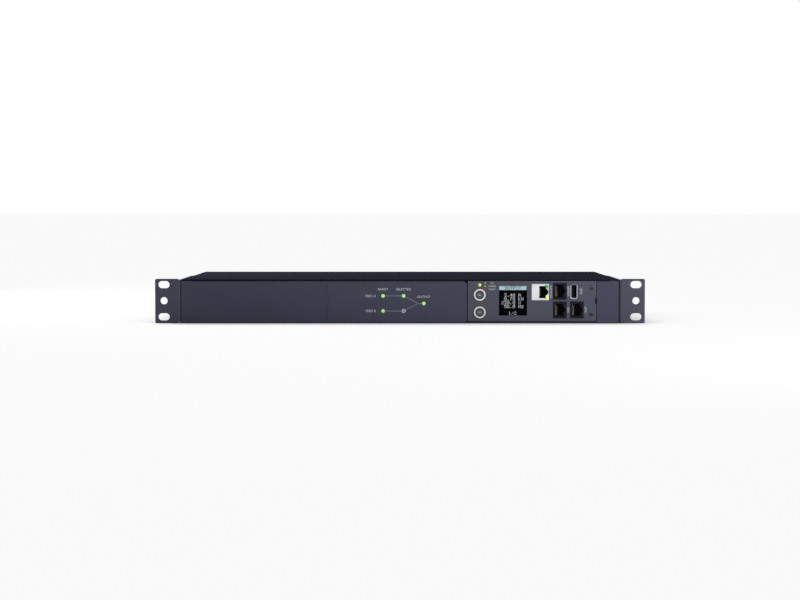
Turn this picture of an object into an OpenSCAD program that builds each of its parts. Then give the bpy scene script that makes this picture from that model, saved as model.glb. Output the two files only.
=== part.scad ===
// 1U rack transfer switch for two power feeds: a folded steel case with bolted-on
// ears, a mimic of the two inputs, a slide-in control module, and a row of sockets
// across the back. Front faces -Y, the underside is z = 0 and x = 0 is the middle.

/* [Rack mounting] */
// Width across both mounting ears
rack_w = 482.6; // [480:0.1:486]
// Width of an ear, beside the case
ear_w = 25.8; // [24:0.1:27]
// Height by which the ears stand above the cover
ear_rise = 0.5; // [0.2:0.1:0.8]
// Thickness of the ears
ear_t = 2; // [1.6:0.1:2.5]
// Inside radius of the bend in an ear
ear_bend_r = 1; // [0.5:0.1:1.5]
// Length of the leg that lies on the side of the case
ear_leg = 122; // [110:1:130]
// Distance of the leg's edges inside the edges of the ear
leg_inset = 0.7; // [0.3:0.1:1.5]
// Radius of the corners of an ear
ear_corner_r = 1.6; // [0.5:0.1:3]
// Distance of the holes from the outer edge of an ear
hole_inset = 8.75; // [8:0.05:9.5]
// Height from the lower slot to the upper one
slot_rise = 31.75; // [31:0.05:32]
// Length of the slots
slot_len = 11.1; // [10:0.1:12]
// Height of the slots and diameter of the middle hole
slot_w = 7.1; // [6.5:0.1:7.4]
// Diameter of the screws in the sides
screw_d = 3; // [2.5:0.1:3.5]

/* [Case] */
// Depth of the case
case_d = 240; // [236:1:260]
// Height of the case, to the top of the cover
case_h = 43.2; // [42.9:0.1:43.4]
// Thickness of the tray, the cover and the panels
sheet_t = 1.2; // [1:0.1:1.3]
// Inside radius of the bends
bend_r = 0.6; // [0.4:0.1:1]
// Height of the part of the walls that the skirts of the cover lap over
lap_h = 14.7; // [13:0.1:17]
// Distance from the top of the cover down to the front panels
panel_drop = 1.7; // [1.6:0.1:2.2]
// Bottom edge of the front and rear panels
panel_bottom = 0.5; // [0.4:0.1:1]
// Gap between sheets that lie one on the other
lap_gap = 0.1; // [0.05:0.05:0.15]
// Depth of the flanges turned in at the top of the panels
flange_d = 9; // [7:0.5:11]
// Width of one vent slot in the side
vent_w = 3; // [2:0.5:3.5]
// Height of one vent slot
vent_h = 15; // [10:1:16]
// Distance from one vent slot to the next
vent_pitch = 6; // [5:0.5:8]

/* [Mimic] */
// Width of the mimic, from the seam beside the control module
mimic_w = 137.5; // [120:0.5:150]
// Bottom edge of the mimic overlay
mimic_bottom = 1.9; // [1.5:0.1:3]
// Thickness of the overlay
overlay_t = 0.35; // [0.2:0.05:0.5]
// Distance from the seam to the output light
output_in = 42.6; // [38:0.1:48]
// Distance from the output light to the point where the feeds meet
meet_run = 5.5; // [4.5:0.1:8]
// Distance from the output light to the lights of the chosen feed
select_run = 19.9; // [17:0.1:24]
// Distance from there to the lights of the feeds' state
status_run = 20.3; // [15:0.1:26]
// Height of the middle of the mimic
mimic_z = 19.45; // [18:0.05:23]
// Distance between the two feeds
feed_pitch = 14.9; // [12:0.1:18]
// Diameter of a light
light_d = 3.5; // [3:0.1:4]
// Width of the lines of the mimic
line_w = 0.7; // [0.4:0.1:1.2]

/* [Control module] */
// Width of the narrow panel right of the module
end_panel_w = 21.4; // [19:0.1:24]
// Distance from the last jack to the right edge of the faceplate, for the screws
screw_margin = 12.6; // [12:0.1:15]
// Bottom edge of the faceplate
module_z = 2; // [1.8:0.1:2.4]
// Thickness of the faceplate
face_t = 1.5; // [1.2:0.1:2]
// Gap between the faceplate and the front panels
module_gap = 0.6; // [0.3:0.1:0.8]
// Depth of the module behind the faceplate
module_d = 100; // [90:1:110]
// Distance from the back of the faceplate to the front board
board_back = 13.7; // [13:0.1:15]
// Thickness of the circuit boards
board_t = 1.6; // [1.2:0.1:2]
// Screws of the module, in from its right edge
module_screw_in = 4.3; // [4:0.1:5]
// Diameter of the screws of the module
module_screw_d = 2.5; // [2:0.1:3]
// Diameter of their heads
module_screw_head = 4.5; // [4:0.1:5]

/* [Buttons and display] */
// Middle of the buttons, from the left edge of the module
button_x = 11.9; // [11:0.1:12.5]
// Height of the lower button above the bottom of the module
button_lower = 8.7; // [8.3:0.1:9]
// Distance between the two buttons
button_pitch = 17.2; // [16.5:0.1:18]
// Diameter of a button
button_d = 11.6; // [10.5:0.1:11.8]
// Width of the pale ring at the rim of a button
button_ring_w = 1.4; // [0.8:0.1:2]
// Distance that a button stands out
button_out = 0.8; // [0.6:0.1:1.2]
// Travel of a button
button_travel = 0.5; // [0.3:0.1:0.5]
// Gap between the status light and the guide of the upper button
status_gap = 0.6; // [0.3:0.1:1]
// Diameter of the status light
status_d = 2.9; // [2.5:0.1:3]
// Width of the space for words between the buttons and the display
legend_w = 13.1; // [12:0.1:15]
// Distance of the display above the bottom of the module
display_z = 5.5; // [4:0.1:7]
// Distance of the display below the top of the module
display_drop = 4.6; // [3:0.1:6]
// Width of the display
display_w = 27.7; // [24:0.1:32]
// Thickness of the display window
window_t = 1; // [0.8:0.1:1.2]

/* [Ports] */
// Gap between the display and the network port
network_gap = 4.6; // [3.5:0.1:6]
// Width of the plain side of the network port, behind its contacts
network_side = 7.3; // [6:0.1:9]
// Wall above and below the hole of the network port
network_wall = 2; // [1.6:0.1:2.1]
// Distance of the network port's lower edge below that of the upper jack
network_drop = 0.5; // [0:0.1:1]
// Width of the words right of the network port
network_words = 4.2; // [3.5:0.1:5]
// Width of the words between the two columns of jacks
jack_words = 3.5; // [3:0.1:5]
// Width of a jack's side behind its contacts
jack_side = 2.9; // [2.5:0.1:4]
// Width of a jack's side past the latch of the plug
jack_wall = 1.3; // [1:0.1:2]
// Distance of the lower jacks above the bottom of the module
jack_low_z = 2.8; // [2.4:0.1:3.2]
// Height of the strip between the upper and lower jacks
jack_strip = 1.9; // [1.5:0.1:2.5]
// Distance of the upper jack below the top of the module
jack_drop = 1.8; // [1.5:0.1:2.4]
// Width of the hole for a plug
plug_w = 11.9; // [11.7:0.1:12.1]
// Height of the hole for the body of a plug
plug_h = 6.9; // [6.7:0.1:7.1]
// Depth of the hole for a plug
plug_d = 12.5; // [11:0.5:13]
// Distance from one contact to the next
contact_pitch = 1.02; // [0.95:0.01:1.1]
// Number of contacts in a jack
jack_contact_count = 10; // [6:2:10]
// Number of contacts in the network port
network_contact_count = 8; // [4:2:8]
// Height of the USB port's lower edge above that of the upper jack
usb_rise = 0.4; // [0:0.1:0.6]
// Width of the USB port's flared mouth
usb_w = 7.7; // [7.5:0.1:8]
// Height of the USB port's flared mouth
usb_h = 15.2; // [15:0.1:15.5]
// Distance by which the mouth flares out from the tube
usb_flare = 1; // [0.6:0.1:1.1]
// Outside radius of the corners of the USB port's tube
usb_corner_r = 1.3; // [0.8:0.1:1.6]

/* [Sockets at the back] */
// Distance of the first inlet from the side of the case
row_margin = 6; // [5:0.5:7]
// Gap between the rims of neighbouring sockets
row_gap = 1.3; // [1:0.1:3]
// Width of the body of a breaker
breaker_w = 15; // [13:0.5:16]
// Gap between the bodies of the breakers
breaker_gap = 4; // [3:0.5:5]
// Gap between the banks of small outlets
bank_gap = 3; // [2:0.5:5]
// Width kept free for the earth stud
earth_space = 16; // [14:0.5:20]
// Height of the earth stud above the underside
earth_z = 12; // [10:0.5:14]
// Width of the block of a large connector
large_w = 27.4; // [27:0.1:28]
// Height of the block of a large connector
large_h = 19.4; // [19:0.1:20]
// Width of the block of a small connector
small_w = 23.6; // [23:0.1:23.8]
// Height of the block of a small connector
small_h = 15.6; // [15:0.1:16]
// Width of the groove round the block of an outlet
groove_w = 2.4; // [2.2:0.1:2.5]
// Width of the rib between two small outlets
small_rib = 2.8; // [2.4:0.1:4]
// Wall of an inlet or outlet
socket_wall = 1.2; // [1:0.1:1.5]
// Distance by which a rim covers the edge of its cut-out
rim_over = 0.8; // [0.6:0.1:1.2]
// Thickness of the rim that lies on the rear panel
rim_t = 2; // [1.5:0.1:2.5]
// Depth of an inlet or outlet behind the rear panel
socket_d = 22; // [20:0.5:24]
// Diameter of a breaker's reset button
reset_d = 6.6; // [6:0.1:7]
// Diameter of the threaded neck of a breaker
neck_d = 9.5; // [9:0.1:11]
// Length of the neck past the rear panel
neck_out = 7; // [6:0.5:9]
// Diameter of the earth stud
earth_d = 4; // [3:0.5:5]
// Distance between the flat pins of an inlet
pin_pitch = 6.5; // [6:0.1:7]
// Height of the middle pin above the middle of its inlet
pin_rise = 4; // [3.5:0.1:4.5]
// Width of a pin
pin_w = 8; // [7:0.1:9]
// Thickness of a pin
pin_t = 2; // [1.8:0.1:2.2]

/* [Power stage] */
// Height of the boards above the floor of the tray
standoff_h = 6.8; // [5:0.1:8]
// Distance of the power board from the side of the case
power_margin = 14; // [10:0.5:20]
// Distance of the power board behind the front
power_front = 32; // [28:1:40]
// Distance of the power board in front of the back
power_rear = 48; // [42:1:56]
// Gap between the power board and the control module
power_gap = 13.2; // [8:0.1:18]
// Distance of the heat sink from the left edge of the power board
sink_margin = 16; // [10:0.5:20]
// Distance of the heat sink from the front edge of the power board
sink_front = 12; // [6:0.5:14]
// Gap between the heat sink and the transformers
sink_gap = 16; // [10:0.5:24]
// Depth of the heat sink
sink_d = 58; // [50:1:66]
// Thickness of the heat sink's base
sink_base = 5; // [4:0.5:6]
// Number of fins
fin_count = 10; // [6:1:12]
// Thickness of a fin
fin_t = 1.8; // [1.2:0.1:2.4]
// Height of the fins
fin_h = 12; // [8:0.5:13]
// Width of a thyristor module
thyristor_w = 38; // [30:1:42]
// Depth of a thyristor module
thyristor_d = 26; // [20:1:30]
// Height of a thyristor module
thyristor_h = 12; // [10:0.5:13]
// Gap between the heat sink and the relays
relay_gap = 13.7; // [8:0.1:16]
// Width of a relay
relay_w = 29; // [25:0.5:32]
// Depth of a relay
relay_d = 12.6; // [10:0.1:14]
// Height of a relay
relay_h = 25; // [18:0.5:28]
// Outside diameter of a current sensor
sensor_d = 24; // [20:0.5:26]
// Diameter of the hole in a current sensor
sensor_bore = 10; // [8:0.5:12]
// Thickness of a current sensor
sensor_t = 11; // [8:0.5:13]
// Width of the core of a supply transformer
core_w = 32; // [28:0.5:36]
// Depth of the core of a supply transformer
core_d = 26; // [20:0.5:28]
// Height of the core of a supply transformer
core_h = 24; // [20:0.5:27]
// Distance by which the windings stand out of the core
winding = 4; // [2:0.5:5]
// Width of the control board
control_w = 90; // [70:1:98]
// Depth of the control board
control_d = 60; // [40:1:66]
// Diameter of the wires
wire_d = 3.2; // [2.4:0.1:4]

/* [Hidden] */
$fn = 48;

front = -case_d/2;
back = case_d/2;
case_w = rack_w - 2*ear_w;
side = case_w/2;
ear_h = case_h + ear_rise;
hole_mid_z = ear_h/2 + 0.25;
hole_span = rack_w - 2*hole_inset;
joggle_z = case_h - lap_h;
panel_top = case_h - panel_drop;
cut = 1;                          // how far a cutting shape runs past a face
cover_under = case_h - sheet_t;
bend = bend_r + sheet_t;
panel_back = front + sheet_t;
tray_front = panel_back + lap_gap;
rear_inner = back - sheet_t;
tray_back = rear_inner - lap_gap;
joggle_in = sheet_t + lap_gap;
joggle_h = 1.6;
screw_hole_d = screw_d + 0.2;
ear_gap = 0.05;
ear_x = side + ear_gap;
ear_bend = ear_bend_r + ear_t;

module_top = panel_top;
module_h = module_top - module_z;

// Width and depth of the two steps for a plug's latch
latch = [[6.1, 1.2], [3.3, 1]];
latch_h = latch[0][1] + latch[1][1];
shield_side = 0.4;                // side of the network port past the latch

// Buttons and their guides
collar_t = 1;
collar_d = button_d + 1.2;
guide_gap = 0.35;
guide_wall = 1;
guide_d = collar_d + 2*(guide_gap + guide_wall);
button_upper = button_lower + button_pitch;
status_z = button_upper + guide_d/2 + status_gap + status_d/2;

// What the module carries, from its left edge and from its bottom edge
jack_w = jack_side + plug_h + latch_h + jack_wall;
jack_h = (module_h - jack_low_z - jack_strip - jack_drop)/2;
jack_high_z = jack_low_z + jack_h + jack_strip;
network_w = network_side + plug_h + latch_h + shield_side;
network_h = plug_w + 2*network_wall;
network_z = jack_high_z - network_drop;
usb_z = jack_high_z + usb_rise;
display_x = button_x + button_d/2 + legend_w;
display_h = module_h - display_z - display_drop;
network_x = display_x + display_w + network_gap;
jack_x = network_x + network_w + network_words;
jack_second_x = jack_x + jack_w + jack_words;
module_w = jack_second_x + jack_w + screw_margin;

module_right = side - end_panel_w - module_gap;
module_x = module_right - module_w;
panel_seam = module_x - module_gap;
end_seam = module_right + module_gap;
face_back = front + face_t;
board_y = face_back + board_back;

// Flat shapes

module rounded(w, h, r) {
    square([w, h - 2*r], center = true);
    square([w - 2*r, h], center = true);
    for (x = [-1, 1], y = [-1, 1])
        translate([x*(w/2 - r), y*(h/2 - r)]) circle(r);
}

module stadium(l, w) {
    square([l - w, w], center = true);
    for (s = [-1, 1]) translate([s*(l - w)/2, 0]) circle(d = w);
}

// Quarter of a bent sheet, with the outside of its corner at the origin
module fold(t, r) {
    difference() {
        intersection() {
            translate([r + t, r + t]) circle(r + t);
            square(r + t);
        }
        translate([r + t, r + t]) circle(r);
    }
}

// Rectangle with its two upper corners cut off
module keyed(w, h, c) {
    polygon([
        [-w/2, -h/2], [w/2, -h/2], [w/2, h/2 - c],
        [w/2 - c, h/2], [c - w/2, h/2], [-w/2, h/2 - c],
    ]);
}

// Placing

// Sweeps a section round a rounded rectangle that stands upright: the section's x is its
// distance from the centres of the corners, and its y points forwards
module swept_frame(w, h, r) rotate([90, 0, 0])
    for (turn = [0:3]) rotate(turn*90) {
        across = turn % 2 == 0 ? w : h;
        along = turn % 2 == 0 ? h : w;
        translate([across/2 - r, along/2 - r, 0]) {
            rotate([90, 0, 0]) linear_extrude(along - 2*r) children();
            rotate_extrude(angle = 90) children();
        }
    }

// Extrudes a drawing of x and z from y0 to y1
module along_y(y0, y1) {
    translate([0, y1, 0]) rotate([90, 0, 0]) linear_extrude(y1 - y0) children();
}

// Extrudes a drawing of y and z from x0 to x1
module along_x(x0, x1) {
    translate([x0, 0, 0]) rotate([90, 0, 90]) linear_extrude(x1 - x0) children();
}

module box(x0, x1, y0, y1, z0, z1) {
    translate([x0, y0, z0]) cube([x1 - x0, y1 - y0, z1 - z0]);
}

// Round bar along Y
module rod_y(d, y0, y1) {
    translate([0, y1, 0]) rotate([90, 0, 0]) cylinder(d = d, h = y1 - y0);
}

// Round bar along X
module rod_x(d, x0, x1) {
    translate([x0, 0, 0]) rotate([0, 90, 0]) cylinder(d = d, h = x1 - x0);
}

module both_sides() {
    children();
    mirror([1, 0, 0]) children();
}

// Tray: floor, stepped side walls with a turned-in rim, and a lip behind the front panel

vent_first_y = front + ear_leg + 14;
vent_count = floor((tray_back - 12 - vent_first_y)/vent_pitch);
vent_z = 15.5;
lip_h = 9;
lip_from = -side + 8;
lip_to = panel_seam - flange_d - 6;
rim_w = 8;
ear_screw_y = [front + 14, front + ear_leg - 12];
ear_screw_low = 11;
ear_screw_high = case_h - 8;
cover_screw_y = [front + ear_leg + 20, back - 18];

module tray_half_section() {
    top = cover_under - lap_gap;
    square([side - bend, sheet_t]);
    translate([side, 0]) mirror([1, 0]) fold(sheet_t, bend_r);
    translate([side - sheet_t, bend]) square([sheet_t, joggle_z - bend]);
    polygon([
        [side - sheet_t, joggle_z], [side, joggle_z],
        [side - joggle_in, joggle_z + joggle_h], [side - joggle_in - sheet_t, joggle_z + joggle_h],
    ]);
    translate([side - joggle_in - sheet_t, joggle_z + joggle_h])
        square([sheet_t, top - bend - joggle_z - joggle_h]);
    translate([side - joggle_in, top]) mirror([1, 0]) mirror([0, 1]) fold(sheet_t, bend_r);
    translate([side - joggle_in - rim_w, top - sheet_t]) square([rim_w - bend, sheet_t]);
}

module side_screw_holes(d) {
    for (y = ear_screw_y, z = [ear_screw_low, ear_screw_high])
        translate([0, y, z]) rod_x(d, side - 8, side + 8);
    for (y = cover_screw_y)
        translate([0, y, ear_screw_high]) rod_x(d, side - 8, side + 8);
}

module chassis_tray() color([0.16, 0.16, 0.2]) {
    difference() {
        along_y(tray_front, tray_back) {
            tray_half_section();
            mirror([1, 0]) tray_half_section();
        }
        box(lip_from, lip_to, tray_front - cut, tray_front + bend, -cut, sheet_t + cut);
        both_sides() {
            for (i = [0:vent_count])
                translate([0, vent_first_y + i*vent_pitch, vent_z])
                    along_x(side - 5, side + 5) rotate(90) stadium(vent_h, vent_w);
            side_screw_holes(screw_hole_d);
        }
    }
    along_x(lip_from, lip_to) translate([tray_front, 0]) {
        fold(sheet_t, bend_r);
        translate([0, bend]) square([sheet_t, lip_h - bend]);
    }
}

// Cover: a plain top with skirts that lap over the stepped walls

skirt_bottom = joggle_z + joggle_h + 0.3;
cover_setback = 1;

module cover_half_section() {
    translate([0, cover_under]) square([side - bend, sheet_t]);
    translate([side, case_h]) mirror([1, 0]) mirror([0, 1]) fold(sheet_t, bend_r);
    translate([side - sheet_t, skirt_bottom]) square([sheet_t, case_h - bend - skirt_bottom]);
}

module top_cover() color([0.16, 0.16, 0.2]) difference() {
    union() {
        along_y(tray_front, tray_back) {
            cover_half_section();
            mirror([1, 0]) cover_half_section();
        }
        box(bend - side, side - bend, front + cover_setback, back, cover_under, case_h);
    }
    both_sides() side_screw_holes(screw_hole_d);
}

// Front panels: the wide one with the lights, and the narrow one right of the module

panel_corner = joggle_in + rim_w + 1;     // clear of the rim of the tray

module panel_top_flange(x0, x1) {
    along_x(x0, x1) translate([front, panel_top]) mirror([0, 1]) {
        fold(sheet_t, bend_r);
        translate([bend, 0]) square([flange_d - bend, sheet_t]);
    }
}

output_x = panel_seam - output_in;
meet_x = output_x - meet_run;
select_x = output_x - select_run;
status_x = select_x - status_run;
mimic_left = panel_seam - mimic_w;
feed_a_z = mimic_z + feed_pitch/2;
feed_b_z = mimic_z - feed_pitch/2;

module light_places() {
    for (x = [status_x, select_x]) translate([x, 0, feed_a_z]) children();
    translate([status_x, 0, feed_b_z]) children();
    translate([output_x, 0, (feed_a_z + feed_b_z)/2]) children();
}

module standby_place() {
    translate([select_x, 0, feed_b_z]) children();
}

module front_panel() color([0.2, 0.2, 0.26]) difference() {
    union() {
        box(-side, panel_seam - bend, front, panel_back, panel_bottom, panel_top - bend);
        panel_top_flange(-side + panel_corner, panel_seam - bend);
        translate([panel_seam, front, panel_bottom + sheet_t]) mirror([1, 0, 0])
            linear_extrude(panel_top - bend - panel_bottom - sheet_t) {
                fold(sheet_t, bend_r);
                translate([0, bend]) square([sheet_t, flange_d - bend]);
            }
        box(-side, -side + panel_corner, front, panel_back, panel_bottom, panel_top);
    }
    light_places() rod_y(light_d + 0.2, front - cut, panel_back + cut);
    standby_place() rod_y(light_d + 0.2, front - cut, panel_back + cut);
}

module front_end_panel() color([0.2, 0.2, 0.26]) {
    box(end_seam, side, front, panel_back, panel_bottom, panel_top - bend);
    panel_top_flange(end_seam, side - panel_corner);
    box(side - panel_corner, side, front, panel_back, panel_bottom, panel_top);
}

// Bracket that carries the end panel and takes the screws of the control module
bracket_t = 2;
bracket_x = module_right - screw_margin + 3;
bracket_right = side - joggle_in - sheet_t - 0.5;
bracket_y = max(panel_back, face_back) + lap_gap;
bracket_foot = 14;
module_screw_z = 6.9;

module bracket_screw_places() {
    for (z = [module_screw_z, module_h - module_screw_z])
        translate([module_right - module_screw_in, 0, module_z + z]) children();
}

module module_bracket() color([0.62, 0.63, 0.65]) difference() {
    union() {
        box(bracket_x, bracket_right, bracket_y, bracket_y + bracket_t, sheet_t, panel_top - bend - 1);
        box(bracket_x, bracket_right, bracket_y, bracket_y + bracket_foot, sheet_t, sheet_t + bracket_t);
    }
    bracket_screw_places() rod_y(module_screw_d + 0.1, bracket_y - cut, bracket_y + bracket_t + cut);
}

// Ears, drawn on the right and mirrored to the left

head_h = 1.6;
head_small_d = screw_d + 1;
head_large_d = screw_d + 4.2;
head_gap = 0.2;

module ear() {
    plate_w = rack_w/2 - ear_x - ear_bend;
    leg = ear_leg - ear_bend;
    leg_h = ear_h - 2*leg_inset;
    leg_r = 3;
    difference() {
        union() {
            translate([ear_x + ear_bend, 0, 0]) along_y(front, front + ear_t) {
                square([plate_w - ear_corner_r, ear_h]);
                translate([plate_w - ear_corner_r, ear_corner_r])
                    square([ear_corner_r, ear_h - 2*ear_corner_r]);
                for (z = [ear_corner_r, ear_h - ear_corner_r])
                    translate([plate_w - ear_corner_r, z]) circle(ear_corner_r);
            }
            translate([ear_x, front, leg_inset]) linear_extrude(leg_h) fold(ear_t, ear_bend_r);
            along_x(ear_x, ear_x + ear_t) translate([front + ear_bend, leg_inset]) {
                square([leg - leg_r, leg_h]);
                translate([leg - leg_r, leg_r]) square([leg_r, leg_h - 2*leg_r]);
                for (z = [leg_r, leg_h - leg_r]) translate([leg - leg_r, z]) circle(leg_r);
            }
        }
        for (s = [-1, 0, 1]) translate([hole_span/2, 0, hole_mid_z + s*slot_rise/2])
            along_y(front - cut, front + ear_t + cut)
                if (s == 0) circle(d = slot_w); else stadium(slot_len, slot_w);
        for (y = ear_screw_y, z = [ear_screw_low, ear_screw_high]) translate([ear_x, y, z]) {
            rod_x(head_small_d + 2*head_gap, -cut, ear_t + cut);
            translate([ear_t - head_h + 0.1, 0, 0]) rotate([0, 90, 0])
                cylinder(d1 = head_small_d + 2*head_gap, d2 = head_large_d + 2*head_gap, h = head_h);
        }
    }
}

module left_ear() color([0.14, 0.14, 0.17]) mirror([1, 0, 0]) ear();
module right_ear() color([0.14, 0.14, 0.17]) ear();

module ear_screws() color([0.1, 0.1, 0.11]) both_sides()
    for (y = ear_screw_y, z = [ear_screw_low, ear_screw_high]) translate([ear_x, y, z])
        difference() {
            union() {
                rod_x(screw_d, -6, ear_t - 1);
                translate([ear_t - head_h, 0, 0]) rotate([0, 90, 0])
                    cylinder(d1 = head_small_d, d2 = head_large_d, h = head_h);
            }
            cross_recess(ear_t);
        }

module cross_recess(x) {
    for (a = [0, 90]) rotate([a, 0, 0])
        translate([x - 0.6, -1.7, -0.35]) cube([1.2, 3.4, 0.7]);
}

pan_d = screw_d + 2.6;
pan_h = 1.3;
pan_bevel = 0.7;

module cover_screws() color([0.1, 0.1, 0.11]) both_sides()
    for (y = cover_screw_y) translate([side, y, ear_screw_high]) difference() {
        union() {
            rod_x(screw_d, -6, 0.5);
            rod_x(pan_d, 0, pan_h);
            translate([pan_h, 0, 0]) rotate([0, 90, 0])
                cylinder(d1 = pan_d, d2 = pan_d - 2*pan_bevel, h = pan_bevel);
        }
        cross_recess(2);
    }

// Rear panel with the cut-outs of the socket row

groove_out_large = [large_w + 2*groove_w, large_h + 2*groove_w];
groove_out_small = [small_w + 2*groove_w, small_h + 2*groove_w];
large_body = [groove_out_large[0] + 2*socket_wall, groove_out_large[1] + 2*socket_wall];
small_body = [groove_out_small[0] + 2*socket_wall, groove_out_small[1] + 2*socket_wall];
inlet_hole = [large_w + 1, large_h + 1];

large_pitch = large_body[0] + 2*rim_over + row_gap;
breaker_pitch = breaker_w + breaker_gap;
small_pitch = groove_out_small[0] + small_rib;
row_left = case_w - row_margin - 3*large_pitch - 2*breaker_pitch - 1.5*bank_gap - earth_space;
bank_count = floor(row_left/(2*small_pitch));
bank_body = [small_body[0] + (bank_count - 1)*small_pitch, small_body[1]];
bank_mid = (bank_count - 1)*small_pitch/2;

socket_z = case_h/2;
row_x0 = -side + row_margin;
inlet_ax = row_x0 + large_pitch/2;
inlet_bx = inlet_ax + large_pitch;
breaker_ax = inlet_bx + large_pitch/2 + breaker_pitch/2;
breaker_bx = breaker_ax + breaker_pitch;
large_x = breaker_bx + breaker_pitch/2 + large_pitch/2;
bank_ax = large_x + large_pitch/2 + small_pitch/2 + bank_gap/2;
bank_bx = bank_ax + bank_count*small_pitch + bank_gap;
earth_x = side - 9.5;

cutout_gap = 0.2;

module rear_cutout(size) {
    square([size[0] + 2*cutout_gap, size[1] + 2*cutout_gap], center = true);
}

module rear_panel() color([0.16, 0.16, 0.2]) difference() {
    union() {
        along_y(rear_inner, back) translate([-side, panel_bottom])
            square([case_w, cover_under - lap_gap - panel_bottom]);
        for (z = [0, 1]) along_x(-side + rim_w + 4, side - rim_w - 4)
            translate([back, z == 0 ? sheet_t + lap_gap/2 : cover_under - lap_gap]) mirror([1, 0])
                mirror([0, z]) translate([bend, 0]) square([flange_d - bend, sheet_t]);
        for (z = [sheet_t + lap_gap/2, cover_under - lap_gap - sheet_t])
            box(-side + rim_w + 4, side - rim_w - 4, back - bend, rear_inner + cut/2, z, z + sheet_t);
    }
    along_y(rear_inner - cut, back + cut) translate([0, socket_z]) {
        for (x = [inlet_ax, inlet_bx, large_x]) translate([x, 0]) rear_cutout(large_body);
        for (x = [bank_ax, bank_bx]) translate([x + bank_mid, 0]) rear_cutout(bank_body);
        for (x = [breaker_ax, breaker_bx]) translate([x, 0]) circle(d = neck_d + 0.3);
        translate([earth_x, earth_z - socket_z]) circle(d = earth_d + 0.2);
    }
}

// Sockets, drawn at the origin of their row

rim_r = 1.5;
rim_bevel = 0.6;

// Body, and a rim with rounded corners and a bevelled edge
module socket_shell(body) {
    w = body[0] + 2*rim_over;
    h = body[1] + 2*rim_over;
    along_y(back - sheet_t - socket_d, back + rim_t - 0.5) square(body, center = true);
    along_y(back, back + rim_t) rounded(w - 2*rim_bevel, h - 2*rim_bevel, rim_r - rim_bevel);
    translate([0, back, 0]) rotate(180) swept_frame(w, h, rim_r)
        polygon([
            [0.4, 0], [rim_r, 0], [rim_r, rim_t - rim_bevel], [rim_r - rim_bevel, rim_t], [0.4, rim_t],
        ]);
    for (s = [-1, 1]) translate([s*body[0]/2, 0, 0])          // snap-in clips
        box(-0.1, 0.1, rear_inner - 6, rear_inner - 1, -4, 4);
}

// The outer pins sit low and the earth pin between them sits high
module at_pins() {
    for (x = [-1, 0, 1]) translate([x*pin_pitch, 0, x == 0 ? pin_rise : -pin_rise]) children();
}

module inlet() difference() {
    socket_shell(large_body);
    along_y(back - sheet_t - socket_d + 3, back + rim_t + cut) rounded(inlet_hole[0], inlet_hole[1], 1);
    at_pins() box(-pin_w/2, pin_w/2, back - sheet_t - socket_d - cut, back - socket_d + 4, -pin_t/2, pin_t/2);
}

module inlet_a() color([0.05, 0.05, 0.05]) translate([inlet_ax, 0, socket_z]) inlet();
module inlet_b() color([0.05, 0.05, 0.05]) translate([inlet_bx, 0, socket_z]) inlet();

// Flat pins that run through the floor of each inlet and end in solder tabs
tab_len = 8;
tab_t = 1;

module inlet_pins() color([0.75, 0.7, 0.5]) for (x = [inlet_ax, inlet_bx]) translate([x, 0, socket_z])
    at_pins() {
        root = back - sheet_t - socket_d;
        box(-pin_w/2, pin_w/2, root, back - 3, -pin_t/2, pin_t/2);
        box(1 - pin_w/2, pin_w/2 - 1, root - tab_len, root, -tab_t/2, tab_t/2);
    }

// Groove round a block, and the three contact slots in the block
module outlet_hollow(groove, block, key, slots) {
    difference() {
        along_y(back - sheet_t - socket_d + 4, back + rim_t + cut) keyed(groove[0], groove[1], key);
        along_y(back - sheet_t - socket_d, back + rim_t - 0.4) keyed(block[0], block[1], key);
    }
    for (x = [-1, 0, 1]) translate([x*slots[0], 0, x == 0 ? slots[1] : -slots[1]])
        box(-slots[2]/2, slots[2]/2, back - socket_d + 5, back + rim_t + cut, -slots[3]/2, slots[3]/2);
}

// offset across, offset up, width and height of the contact slots
large_slots = [6.5, 4, 8.6, 2.6];
small_slots = [7, 1.6, 2.6, 5];

module large_outlet() color([0.05, 0.05, 0.05]) translate([large_x, 0, socket_z]) difference() {
    socket_shell(large_body);
    outlet_hollow(groove_out_large, [large_w, large_h], 0.6, large_slots);
}

module outlet_bank(x0) translate([x0, 0, socket_z]) difference() {
    translate([bank_mid, 0, 0]) socket_shell(bank_body);
    for (i = [0:bank_count - 1]) translate([i*small_pitch, 0, 0])
        outlet_hollow(groove_out_small, [small_w, small_h], 4, small_slots);
}

module outlet_bank_a() color([0.05, 0.05, 0.05]) outlet_bank(bank_ax);
module outlet_bank_b() color([0.05, 0.05, 0.05]) outlet_bank(bank_bx);

// Push-to-reset breakers

breaker_h = 28;
breaker_d = 26;
breaker_tab = [6.4, 8.5, 0.8];
nut_h = 2.5;
nut_w = neck_d + 5.5;

module at_breakers() {
    for (x = [breaker_ax, breaker_bx]) translate([x, 0, socket_z]) children();
}

module breaker_bodies() color([0.07, 0.07, 0.08]) at_breakers() difference() {
    union() {
        box(-breaker_w/2, breaker_w/2, rear_inner - breaker_d, rear_inner, -breaker_h/2, breaker_h/2);
        rod_y(neck_d, rear_inner - 1, back + neck_out);
        for (z = [-breaker_h/4, breaker_h/4]) translate([-breaker_tab[0]/2, 0, z - breaker_tab[2]/2])
            translate([0, rear_inner - breaker_d + 0.5 - breaker_tab[1], 0]) cube(breaker_tab);
    }
    rod_y(reset_d + 0.4, back - 6, back + neck_out + cut);
}

module breaker_nuts() color([0.7, 0.71, 0.72]) at_breakers() difference() {
    translate([0, back + nut_h, 0]) rotate([90, 0, 0]) cylinder(d = nut_w, h = nut_h, $fn = 6);
    rod_y(neck_d + 0.02, back - cut, back + nut_h + cut);
}

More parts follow.
